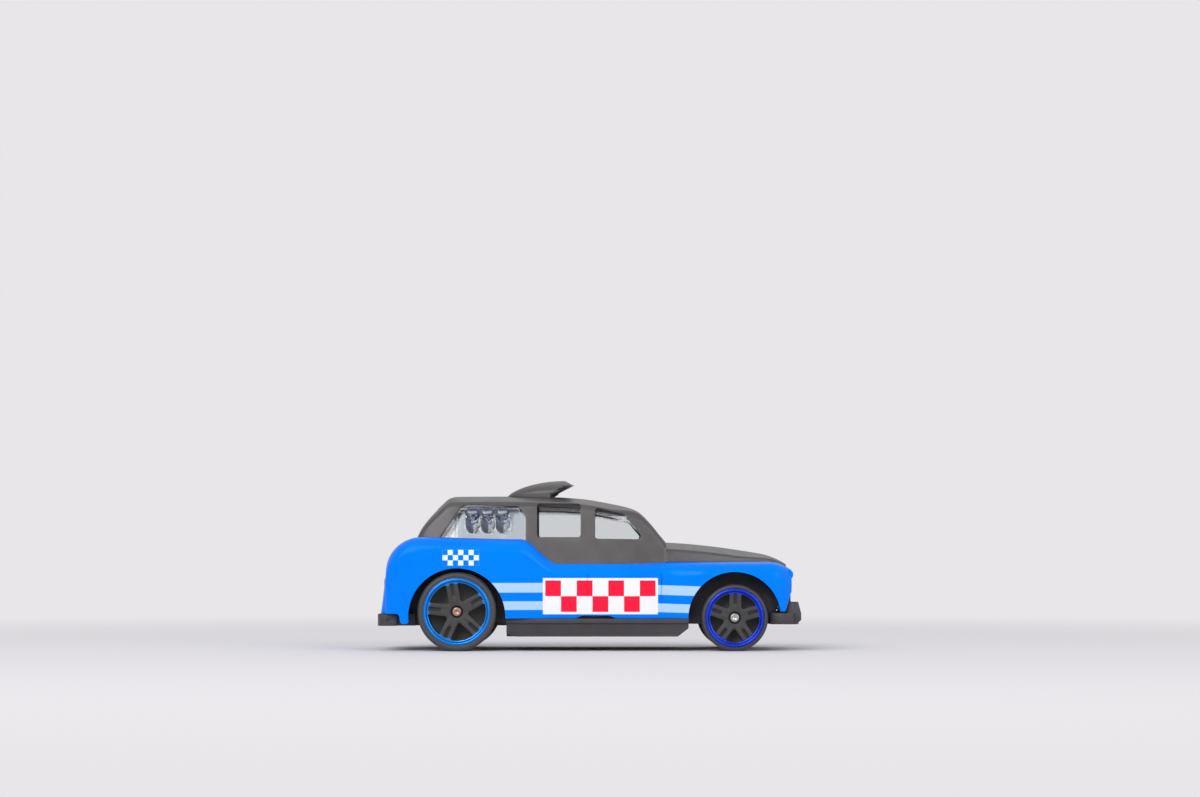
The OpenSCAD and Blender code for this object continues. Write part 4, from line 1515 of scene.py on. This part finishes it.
@dataclass
class UpperShell:
    """The black cabin and bonnet."""

    lines: BodyLines = BodyLines()
    finish: MouldedPlastic = MouldedPlastic("black_shell", tone(80, 77, 77), 0.33)
    wall: float = 1.0
    spare: float = 1.0
    opening_y: float = 7.8
    bonnet_w: float = 22.0
    bonnet_nose_w: float = 10.0
    bonnet_crown: float = 1.0
    bonnet_edge_r: float = 0.9
    bonnet_curve: float = 1.6
    bonnet_nose_x: float = 32.9
    bonnet_rise: float = 0.73
    bonnet_nose_drop: float = 0.85
    bonnet_nose_at: float = 0.8
    bonnet_gap: float = 0.05
    scuttle_gap: float = 0.1
    door_x0: float = -5.25
    rear_window: tuple[Flat, ...] = ((-8.25, 19.3), (-2.0, 19.3), (-2.0, 23.9), (-8.25, 23.9))
    front_window: tuple[Flat, ...] = ((1.4, 19.05), (8.0, 18.95), (5.4, 22.2), (1.4, 23.14))
    screen: tuple[Flat, ...] = ((-8.3, 19.35), (8.3, 19.35), (7.2, 21.4), (-7.2, 21.4))
    screen_depth: float = 6.0
    back: tuple[Flat, ...] = ((-5.7, 20.45), (5.7, 20.45), (4.9, 23.05), (-4.9, 23.05))
    back_depth: float = 5.0
    rounding: float = 0.12

    def bonnet(self) -> bpy.types.Object:
        """The bonnet as a solid.

        Returns:
            The solid.
        """
        lines = self.lines
        start = lines.screen_x - self.spare
        length = self.bonnet_nose_x - start
        taper = (self.bonnet_w - self.bonnet_nose_w) / 2
        fall = lines.scuttle_z - lines.belt_z - self.bonnet_rise
        rings = []
        for t in spaced(0.0, 1.0, 44):
            x = start + length * t
            half = self.bonnet_w / 2 - taper * t**self.bonnet_curve
            nose = max(0.0, (t - self.bonnet_nose_at) / (1 - self.bonnet_nose_at)) ** 2
            level = lines.scuttle_z - self.scuttle_gap - fall * t**self.bonnet_curve
            top = level - self.bonnet_nose_drop * nose
            low = lines.deck(max(x, self.door_x0)) + self.bonnet_gap
            height = top - low
            crown = min(self.bonnet_crown, height * 0.5)
            radius = min(self.bonnet_edge_r, height * 0.3)
            rings.append(lines.domed_ring(x, half, low, top, crown, radius))
        return skin("bonnet", rings)

    def side_opening(self, face: Sequence[Flat], side: Side) -> bpy.types.Object:
        """A window opening through one side, as a cutter.

        Args:
            face: Its outline in side view.
            side: The side that it goes through.

        Returns:
            The solid.
        """
        reach = self.lines.cabin_w / 2 + self.spare - self.opening_y
        start = side.value * self.opening_y
        return prism("opening", [(x, start, z) for x, z in face], (0, side.value * reach, 0))

    def end_opening(self, corners: Sequence[Flat], x: float, reach: float) -> bpy.types.Object:
        """A window opening through the front or the back, as a cutter."""
        face = rounded(corners, self.lines.corner_r)
        return prism("opening", [(x, y, z) for y, z in face], (reach, 0, 0))

    def build(self) -> bpy.types.Object:
        """Models the shell.

        Returns:
            The finished mesh.
        """
        lines = self.lines
        shell = lines.cabin("upper_shell", 0.0, lines.skirt)
        carve(shell, self.bonnet(), Carve.ADD)
        carve(shell, lines.cabin("hollow", self.wall, lines.skirt + self.spare))
        windows = [rounded(corners, lines.corner_r) for corners in (self.rear_window, self.front_window)]
        for side in Side:
            for face in (lines.quarter(0.0), *windows):
                carve(shell, self.side_opening(face, side))
        screen_start = lines.screen_x - self.screen_depth
        carve(shell, self.end_opening(self.screen, screen_start, self.screen_depth + self.spare))
        back_start = lines.cabin_back_x - self.spare
        carve(shell, self.end_opening(self.back, back_start, self.back_depth + self.spare))
        soften(shell, self.rounding)
        return shell

    def dress(self) -> bpy.types.Object:
        """Builds the shell and gives it its finish."""
        return settle(self.build(), "car", ["upper_body"], self.finish.material())


@dataclass
class RoofScoop:
    """The scoop on the roof, with a slanted mouth and bars inside it."""

    lines: BodyLines = BodyLines()
    colour: Colour = tone(84, 82, 82)
    roughness: float = 0.38
    spare: float = 1.0
    front_x: float = -2.6
    length: float = 11.2
    width: float = 9.6
    height: float = 2.64
    tail_share: float = 0.2
    swell_end: float = 0.8
    rise_end: float = 0.86
    rise_power: float = 0.72
    mouth_pinch: float = 0.3
    lip_drop: float = 0.75
    lip_start: float = 0.84
    side_share: float = 0.2
    depth: float = 1.6
    roof_gap: float = 0.025
    wall: float = 0.7
    tip_drop: float = 0.78
    tip_l: float = 0.1
    mouth_back: float = 3.3
    mouth_sunk: float = 0.05
    mouth_sweep: float = 0.9
    mouth_hollow: float = 6.0
    mouth_floor: float = 0.35
    bars: int = 7
    bar_w: float = 0.24
    bar_back: float = 5.2
    bar_l: float = 0.5
    bar_sunk: float = 0.1
    rounding: float = 0.1

    def station(self, t: float) -> Place:
        """The scoop's section at a place along it.

        Args:
            t: Share of its length, from its tail.

        Returns:
            Place along the car, half width and height.
        """
        swell = math.sqrt(1 - (1 - min(t / self.swell_end, 1.0)) ** 2)
        rise = (1 - (1 - min(t / self.rise_end, 1.0)) ** 2) ** self.rise_power
        pinch = self.mouth_pinch * ease((t - self.swell_end) / (1 - self.swell_end))
        half = self.width / 2 * (self.tail_share + (1 - self.tail_share) * swell) - pinch
        lip = self.lip_drop * ease((t - self.lip_start) / (1 - self.lip_start))
        return (self.front_x - self.length * (1 - t), half, self.height * rise - lip)

    def solid(self, name: str, inset: float) -> bpy.types.Object:
        """The scoop's form as a solid.

        Args:
            name: The new object's name.
            inset: How far inside the skin it lies.

        Returns:
            The solid.
        """
        roof = self.lines.roof_z
        low = roof - self.depth
        rings = []
        for t in [0.0, 0.004, 0.012, 0.025, 0.045, 0.07, *spaced(0.1, 1.0, 36)]:
            x, half, height = self.station(t)
            half = max(half - inset, 0.2)
            height = max(height - inset, 0.05)
            base = roof + height * self.side_share
            section = [(half, low), (half, low + self.depth / 2), (half, roof), (half, base)]
            top = dome(half, height * (1 - self.side_share), 16)[1:]
            section += [(y, base + z) for y, z in top]
            rings.append([(x, y, z) for y, z in whole(section)])
        return skin(name, rings)

    def bar(self, index: int) -> bpy.types.Object:
        """One upright bar in the mouth, under the scoop's skin.

        Args:
            index: Its number from the right.

        Returns:
            The finished solid.
        """
        x = self.front_x - self.bar_back
        y = (index - (self.bars - 1) / 2) * self.width / (self.bars + 1)
        _, half, height = self.station(1 - self.bar_back / self.length)
        half -= self.wall / 2
        height -= self.wall / 2
        out = (abs(y) + self.bar_w / 2) / half
        arched = math.sqrt(max(0.0, 1 - out**2))
        top = height * (self.side_share + (1 - self.side_share) * arched)
        core = 0.02
        ends = (x + 0.1, x + self.bar_l - 0.1)
        corners = rounded(box(ends, (y - core, y + core)), self.bar_w / 2 - core, 4)
        foot = self.lines.roof_z - self.bar_sunk
        return smooth(prism("bar", [(u, v, foot) for u, v in corners], (0, 0, top + self.bar_sunk)))

    def build(self) -> bpy.types.Object:
        """Models the scoop.

        Returns:
            The finished mesh.
        """
        roof = self.lines.roof_z
        half = self.width / 2 + self.spare
        ahead = self.front_x + self.spare
        scoop = self.solid("roof_scoop_shell", 0.0)
        carve(scoop, self.lines.cabin("roof", -self.roof_gap, self.lines.skirt))
        tip = roof + self.height - self.tip_drop
        back = self.front_x - self.mouth_back
        below = roof - 2 * self.spare
        face = [
            (ahead, tip), (self.front_x - self.tip_l, tip), (back, roof - self.mouth_sunk), (back, below),
            (ahead, below),
        ]
        carve(scoop, skin("mouth", [
            [(x - self.mouth_sweep * (y / half) ** 2, y, z) for x, z in face]
            for y in spaced(-half, half, 24)
        ]))
        hollow = self.solid("hollow", self.wall)
        floor = roof + self.mouth_floor
        room = [(x, y, floor) for x, y in box((self.front_x - self.mouth_hollow, ahead), (-half, half))]
        carve(hollow, prism("room", room, (0, 0, self.height)), Carve.KEEP)
        carve(scoop, hollow)
        soften(scoop, self.rounding)
        return join(scoop, [self.bar(i) for i in range(self.bars)])

    def dress(self) -> bpy.types.Object:
        """Builds the scoop and gives it its finish, with painted shade in a dark band round the mouth.

        Returns:
            The piece.
        """
        rise = self.height - self.tip_drop + self.mouth_sunk
        finish = MouthShadePlastic(
            "scoop_plastic",
            self.colour,
            self.roughness,
            foot=(self.front_x - self.mouth_back, self.lines.roof_z - self.mouth_sunk),
            slope=rise / (self.mouth_back - self.tip_l),
            sweep=self.mouth_sweep / (self.width / 2 + self.spare) ** 2,
        )
        return settle(self.build(), "car", ["roof_scoop"], finish.material())


@dataclass
class Glazing:
    """The clear window moulding inside the cabin."""

    lines: BodyLines = BodyLines()
    # Painted shade: the windows turn darker grey above 22.8 mm, for the shade along their top
    finish: ClearMoulding = ClearMoulding(
        "window_plastic", tone(240, 243, 243), painted_shade=tone(196, 196, 198), painted_shade_z=22.8
    )
    gap: float = 1.1
    thickness: float = 0.8
    drop: float = 1.3
    spare: float = 1.0
    rounding: float = 0.08

    def build(self) -> bpy.types.Object:
        """Models the moulding.

        Returns:
            The finished mesh.
        """
        moulding = self.lines.cabin("window_moulding", self.gap, self.drop)
        inner = self.lines.cabin("hollow", self.gap + self.thickness, self.lines.skirt + self.spare)
        carve(moulding, inner)
        soften(moulding, self.rounding)
        return moulding

    def dress(self) -> bpy.types.Object:
        """Builds the moulding and gives it its finish."""
        return settle(self.build(), "car", ["clear_insert"], self.finish.material())


@dataclass
class StackBank:
    """A clear quarter panel with three leaning intake stacks, on each side."""

    lines: BodyLines = BodyLines()
    finish: ClearMoulding = ClearMoulding("stack_plastic", tone(246, 249, 253), 0.03, 0.01, 1.22, 0.9)
    panel_t: float = 0.85
    fit: float = 0.1
    spare: float = 1.0
    near_y: float = 8.45
    low_z: float = 18.05
    stack_x: float = -16.9
    stack_y: float = 10.2
    stack_z: float = 20.7
    stack_d: float = 2.45
    stack_l: float = 3.3
    stack_root: float = 0.6
    stack_edge_r: float = 0.35
    pitch: float = 2.5
    tilt: float = 45.0
    intake_r: float = 0.75
    intake_lip_r: float = 0.12
    intake_taper: float = 0.1
    intake_depth: float = 1.4
    rounding: float = 0.09

    def stack(self) -> bpy.types.Object:
        """The middle stack of the right side.

        Returns:
            The solid.
        """
        r = self.stack_d / 2
        top = self.stack_l
        edge_r = self.stack_edge_r
        lip_r = self.intake_lip_r
        floor = top - self.intake_depth
        profile = [
            (0.0, -self.stack_root), (r, -self.stack_root),
            *arc((r - edge_r, top - edge_r), edge_r, 0.0, 90.0, 6),
            *arc((self.intake_r + lip_r, top - lip_r), lip_r, 90.0, 180.0, 4),
            (self.intake_r - self.intake_taper, floor), (0.0, floor),
        ]
        middle = (self.stack_x, -self.stack_y, self.stack_z)
        stack = turned("stack", profile, middle, (0, 0, 1))
        stack.data.transform(turn_about(middle, (1, 0, 0), 90 - self.tilt))
        return stack

    def build(self) -> bpy.types.Object:
        """Models the right bank.

        Returns:
            The finished mesh.
        """
        panel = self.lines.cabin("right_stack_bank", 2 * self.fit, self.lines.skirt)
        reach = self.lines.cabin_w / 2 + self.spare - self.near_y
        face = [(x, -self.near_y, max(z, self.low_z)) for x, z in self.lines.quarter(self.fit)]
        carve(panel, prism("opening", face, (0, -reach, 0)), Carve.KEEP)
        first = self.stack()
        steps = [Matrix.Translation((way * self.pitch * MM, 0, 0)) for way in (-1, 1)]
        for stack in [first, *[copied(first, "stack", step) for step in steps]]:
            carve(panel, stack, Carve.ADD)
        inset = self.panel_t + 2 * self.fit
        carve(panel, self.lines.cabin("hollow", inset, self.lines.skirt + self.spare))
        soften(panel, self.rounding)
        return panel

    def dress(self) -> list[bpy.types.Object]:
        """Builds both banks and gives them their finish.

        Returns:
            The right and the left bank.
        """
        finish = self.finish.material()
        right = self.build()
        left = copied(right, "left_stack_bank", across_car())
        return [
            settle(right, "car", ["right_stacks"], finish),
            settle(left, "car", ["left_stacks"], finish),
        ]


@dataclass
class Wheel:
    """A five-spoke wheel with its tyre in one moulding, and its twin on the other side."""

    axle: AxlePlace
    width: float
    side: float
    phase: float
    foil: Colour
    band_w: float = 0.52
    band_sunk: float = 0.06
    groove: float = 0.2
    back_r: float = 0.4
    shoulder_r: float = 0.6
    spokes: int = 5
    spoke_w: float = 1.85
    bore_r: float = 0.61
    hub_r: float = 1.7
    hub_back: float = 0.3
    back_depth: float = 1.4
    dish_depth: float = 0.5
    gap_depth: float = 1.9
    gap_rim: float = 0.25
    gap_root: float = 0.35
    gap_nose: float = 0.2
    gap_corner: float = 0.16
    gap_corner_turn: float = 2.5
    slot_span: Flat = (0.55, 0.9)
    slot_share: float = 0.17
    slot_r: float = 0.12
    slot_depth: float = 0.26
    head_room_r: float = 1.05
    head_floor: float = 0.8
    rounding: float = 0.07

    @property
    def centre(self) -> Place:
        """Middle of the right wheel's inner face."""
        return (self.axle.x, self.width - self.axle.face, self.axle.radius)

    @property
    def rim(self) -> float:
        """Radius at which the tyre's side meets the rim."""
        return self.axle.radius - self.side

    def profile(self) -> list[Flat]:
        """The wheel's half section.

        Returns:
            Radius, and distance from the inner face, of each point.
        """
        r = self.axle.radius
        w = self.width
        rim = self.rim
        dish = rim - self.band_w
        floor = w - self.dish_depth
        band = w - self.band_sunk - self.groove
        head = w - self.head_floor
        return [
            (self.bore_r, self.hub_back), (self.hub_r, self.hub_back), (self.hub_r, self.back_depth),
            (r - 1.5, self.back_depth), (r - 1.3, 0.0),
            *arc((r - self.back_r, self.back_r), self.back_r, -90.0, 0.0, 6),
            *arc((r - self.shoulder_r, w - self.shoulder_r), self.shoulder_r, 0.0, 80.0, 8),
            (rim + 0.14, w - 0.05), (rim + 0.05, w - self.groove), (rim - 0.02, w - self.groove),
            *arc((rim - self.band_w / 2, band), self.band_w / 2 - 0.04, 20.0, 160.0, 6),
            (dish, band - 0.02), (dish - 0.12, floor + 0.03), (dish - 0.3, floor),
            (self.head_room_r, floor), (self.head_room_r - 0.06, head), (self.bore_r, head),
        ]

    def flat(self, points: Sequence[Flat], start: float, depth: float) -> bpy.types.Object:
        """A cutter with its outline in the wheel's plane.

        Args:
            points: Outline about the wheel's axis, in X and Z.
            start: Distance of its floor from the inner face.
            depth: Its depth outwards.

        Returns:
            The solid.
        """
        x, y, z = self.centre
        return prism("cutter", [(x + u, y - start, z + v) for u, v in points], (0, -depth, 0))

    def gap(self) -> bpy.types.Object:
        """The opening between two spokes, as a cutter.

        Its side starts at the hub end, runs along the spoke, and stops short of the corner where it
        would meet the rim's arc.

        Returns:
            The solid, with its middle line along X.
        """
        a = math.pi / self.spokes
        half = self.spoke_w / 2
        reach = self.rim - self.band_w - self.gap_rim
        root = Vector((half / math.sin(a) + self.gap_root, self.gap_nose))
        along = Vector((math.cos(a), math.sin(a)))
        inwards = Vector((math.sin(a), -math.cos(a)))
        way = (2 * reach * along + half * inwards - root).normalized()
        ahead = root.dot(way)
        corner = root + way * (math.sqrt(ahead**2 + reach**2 - root.length_squared) - ahead)
        shoulder = corner - way * self.gap_corner
        end = math.degrees(math.atan2(corner.y, corner.x)) - self.gap_corner_turn
        rim = arc((0.0, 0.0), reach, -end, end, 14)
        points = [(root.x, -root.y), (shoulder.x, -shoulder.y), *rim, tuple(shoulder), tuple(root)]
        return self.flat(points, self.width - self.dish_depth - self.gap_depth, self.gap_depth + 1)

    def slot(self) -> bpy.types.Object:
        """The shallow slot near the end of a spoke, as a cutter.

        Returns:
            The solid, on the spoke along X.
        """
        dish = self.rim - self.band_w
        start, end = (dish * share for share in self.slot_span)
        half = self.spoke_w * self.slot_share - self.slot_r
        face = rounded(box((start, end), (-half, half)), self.slot_r, 4)
        return self.flat(face, self.width - self.dish_depth - self.slot_depth, 1.0)

    def build(self) -> bpy.types.Object:
        """Models the right wheel.

        Returns:
            The finished mesh.
        """
        axis = (0, -1, 0)
        wheel = turned(f"{self.axle.name}_right_wheel_moulding", self.profile(), self.centre, axis, 128)
        turn = 360 / self.spokes
        gap = self.gap()
        slot = self.slot()
        for i in range(self.spokes):
            at = self.phase + i * turn
            carve(wheel, copied(gap, "gap", turn_about(self.centre, axis, at + turn / 2)))
            carve(wheel, copied(slot, "slot", turn_about(self.centre, axis, at)))
        bpy.data.objects.remove(gap)
        bpy.data.objects.remove(slot)
        soften(wheel, self.rounding, SOLID_ANGLE)
        return wheel

    def dress(self) -> list[bpy.types.Object]:
        """Builds both wheels of an axle and gives them their finish.

        Returns:
            The right and the left wheel.
        """
        band = (self.rim - self.band_w, self.rim + 0.02)
        finish = FoilWheel(self.axle, self.foil, band, self.phase, self.spokes).material()
        right = self.build()
        half_turn = turn_about((self.axle.x, 0.0, self.axle.radius), (1, 0, 0), 180.0)
        left = copied(right, f"{self.axle.name}_left_wheel_moulding", half_turn)
        pieces = []
        for piece, side in ((right, "right"), (left, "left")):
            node = f"{self.axle.name}_{side}_wheel"
            pieces.append(settle(piece, f"{node}_body", [node], finish))
        return pieces


@dataclass
class AxleWire:
    """A wire across the car with an upset head at each end."""

    axle: AxlePlace
    finish: BrightMetal
    radius: float = 0.55
    head_r: float = 0.75
    head_l: float = 0.45
    head_edge_r: float = 0.2
    sunk: float = 0.25
    dimple: tuple[Flat, Flat, Flat] = ((0.0, 0.08), (0.2, 0.07), (0.3, 0.0))

    def build(self) -> bpy.types.Object:
        """Models the wire.

        Returns:
            The finished mesh.
        """
        end = self.axle.face - self.sunk
        neck = end - self.head_l
        edge_r = self.head_edge_r
        right = [
            *[(r, end - depth) for r, depth in self.dimple],
            *arc((self.head_r - edge_r, end - edge_r), edge_r, 90.0, 0.0, 5),
            (self.head_r, end - 0.18), (self.head_r, neck), (self.radius, neck),
        ]
        left = [(r, -along) for r, along in reversed(right)]
        middle = (self.axle.x, 0, self.axle.radius)
        return smooth(turned(f"{self.axle.name}_wire", [*right, *left], middle, (0, 1, 0)))

    def dress(self) -> bpy.types.Object:
        """Builds the wire and gives it its finish."""
        node = f"{self.axle.name}_axle"
        return settle(self.build(), f"{node}_body", [node], self.finish.material())


@dataclass
class Underpinnings:
    """The base with its bumpers and grille, its rivets, and the tub with the seats."""

    base: MouldedPlastic = MouldedPlastic("base_plastic", tone(56, 54, 57), 0.46)
    base_rounding: float = 0.1
    tub: MouldedPlastic = MouldedPlastic("tub_plastic", tone(140, 142, 146), 0.5)
    tub_rounding: float = 0.12
    rivet: BrightMetal = BrightMetal("rivet_metal", tone(186, 188, 190), 0.35)
    rivet_rounding: float = 0.06
    sill_cut: tuple[Flat, Flat, Flat] = ((14.44, 2.3), (16.64, 2.3), (16.64, 4.0))
    sill_half: float = 14.0
    well: Place = (REAR.x, 5.65, 8.4)
    well_span: Flat = (56.0, 124.0)
    well_y: float = 7.8
    well_t: float = 0.7
    well_rounding: float = 0.05

    def well_crown(self, side: Side) -> bpy.types.Object:
        """The upper edge of a rear wheel's wall, which shuts out the light over the tyre.

        Args:
            side: The side that it is on.

        Returns:
            The finished solid.
        """
        x, z, radius = self.well
        y = side.value * self.well_y
        face = [(u, y, v) for u, v in arc((x, z), radius, *self.well_span, 24)]
        crown = prism("crown", face, (0, side.value * self.well_t, 0))
        soften(crown, self.well_rounding)
        return crown

    def dress(self) -> list[bpy.types.Object]:
        """Finishes the solids and gives them their finishes.

        Returns:
            The base, the tub and the rivets.
        """
        base = refined("chassis", "base_pan", self.base_rounding)
        wedge = [(x, -self.sill_half, z) for x, z in self.sill_cut]
        carve(base, prism("wedge", wedge, (0, 2 * self.sill_half, 0)))
        join(base, [self.well_crown(side) for side in Side])
        tub = refined("interior_tub", "seat_tub", self.tub_rounding)
        rivets = refined("base_rivets", "rivet_pair", self.rivet_rounding)
        return [
            settle(base, "car", ["chassis"], self.base.material()),
            settle(tub, "car", ["interior_tub"], self.tub.material()),
            settle(rivets, "car", ["base_rivets"], self.rivet.material()),
        ]


@dataclass(frozen=True)
class StudioLamp:
    """A soft square lamp aimed at the car, its place and side in millimetres, its power in watts."""

    name: str
    place: Place
    size: float
    power: float


@dataclass
class Studio:
    """Pale floor, soft light and the camera."""

    pale: Colour = tone(232, 230, 233)
    daylight: Colour = tone(250, 250, 252)
    floor_r: float = 4.0
    floor_inset: float = 2.4
    floor_fade: Flat = (90.0, 320.0)
    world_level: float = 0.55
    lamps: tuple[StudioLamp, ...] = (
        StudioLamp("key", (-380, -760, 560), 620, 5.4),
        StudioLamp("fill", (560, -700, 380), 520, 2.4),
        StudioLamp("back", (160, 680, 620), 600, 0.5),
    )
    lamp_aim: Place = (0, 0, 12)
    camera: Place = (1.73, -534.6, 16.0)
    pitch: float = 2.82
    lens: float = 94.7
    sensor: float = 36.0
    clip_start: float = 0.01

    def floor(self) -> bpy.types.Object:
        """A wide round floor whose outer part shows as the background does.

        Returns:
            The floor.
        """
        deselect()
        bpy.ops.mesh.primitive_circle_add(vertices=96, radius=self.floor_r, fill_type="NGON")
        floor = bpy.context.object
        floor.name = "floor"
        with editing(floor):
            bpy.ops.mesh.inset(thickness=self.floor_inset)
        mix = Recipe("floor_paper")
        far = mix.spread(mix.reach(mix.x, mix.y), *self.floor_fade, 0.0, 1.0)
        sight = mix.add("ShaderNodeLightPath", {}).outputs["Is Camera Ray"]
        paper = mix.add("ShaderNodeBsdfDiffuse", {"Color": self.pale})
        glow = mix.add("ShaderNodeEmission", {"Color": self.pale, "Strength": 1.0})
        floor.data.materials.append(mix.finish(mix.blend(mix.both(far, sight), paper, glow)))
        return floor

    def world(self) -> None:
        """A pale surround, seen at full strength and lighting at a plain level."""
        world = bpy.data.worlds.new("surround")
        bpy.context.scene.world = world
        world.use_nodes = True
        tree = NodeTree(world.node_tree)
        seen = tree.add("ShaderNodeBackground", {"Color": self.pale, "Strength": 1.0})
        light = tree.add("ShaderNodeBackground", {"Color": self.daylight, "Strength": self.world_level})
        rays = tree.add("ShaderNodeLightPath", {}).outputs
        sights = {0: rays["Is Camera Ray"], 1: rays["Is Transmission Ray"]}
        sight = tree.add("ShaderNodeMath", sights, operation="MAXIMUM").outputs[0]
        tree.add("ShaderNodeOutputWorld", {"Surface": tree.blend(sight, light, seen)})

    def hang(self, lamp: StudioLamp) -> bpy.types.Object:
        """Hangs a lamp and aims it at the car.

        Args:
            lamp: What is hung.

        Returns:
            The lamp's object.
        """
        light = bpy.data.lights.new(lamp.name, "AREA")
        light.size = lamp.size * MM
        light.energy = lamp.power
        hung = bpy.data.objects.new(lamp.name, light)
        bpy.context.scene.collection.objects.link(hung)
        hung.location = Vector(lamp.place) * MM
        aim = Vector(self.lamp_aim) - Vector(lamp.place)
        hung.rotation_euler = aim.to_track_quat("-Z", "Y").to_euler()
        return hung

    def shoot(self) -> None:
        """Places the camera at the photograph's angle."""
        data = bpy.data.cameras.new("camera")
        data.sensor_width = self.sensor
        data.sensor_fit = "HORIZONTAL"
        data.lens = self.lens
        data.clip_start = self.clip_start
        camera = bpy.data.objects.new("camera", data)
        bpy.context.scene.collection.objects.link(camera)
        camera.location = Vector(self.camera) * MM
        camera.rotation_euler = (math.radians(90 + self.pitch), 0, 0)
        bpy.context.scene.camera = camera

    def dress(self) -> None:
        """Sets up floor, light, camera and view."""
        self.floor()
        self.world()
        for lamp in self.lamps:
            self.hang(lamp)
        self.shoot()
        bpy.context.scene.view_settings.view_transform = "Standard"


def main() -> None:
    """Builds every sub-assembly in order."""
    logging.basicConfig(level=logging.INFO, format="%(name)s: %(message)s")
    copper = BrightMetal("copper_wire", tone(196, 152, 138), 0.34)
    steel = BrightMetal("steel_wire", tone(190, 188, 184), 0.3)
    Studio().dress()
    LowerShell().dress()
    UpperShell().dress()
    RoofScoop().dress()
    Glazing().dress()
    StackBank().dress()
    Wheel(REAR, width=5.0, side=0.95, phase=101.0, foil=tone(16, 130, 222)).dress()
    Wheel(FRONT, width=4.4, side=0.65, phase=88.0, foil=tone(26, 58, 200)).dress()
    AxleWire(REAR, copper).dress()
    AxleWire(FRONT, steel).dress()
    Underpinnings().dress()
    deselect()


if __name__ == "__main__":
    main()
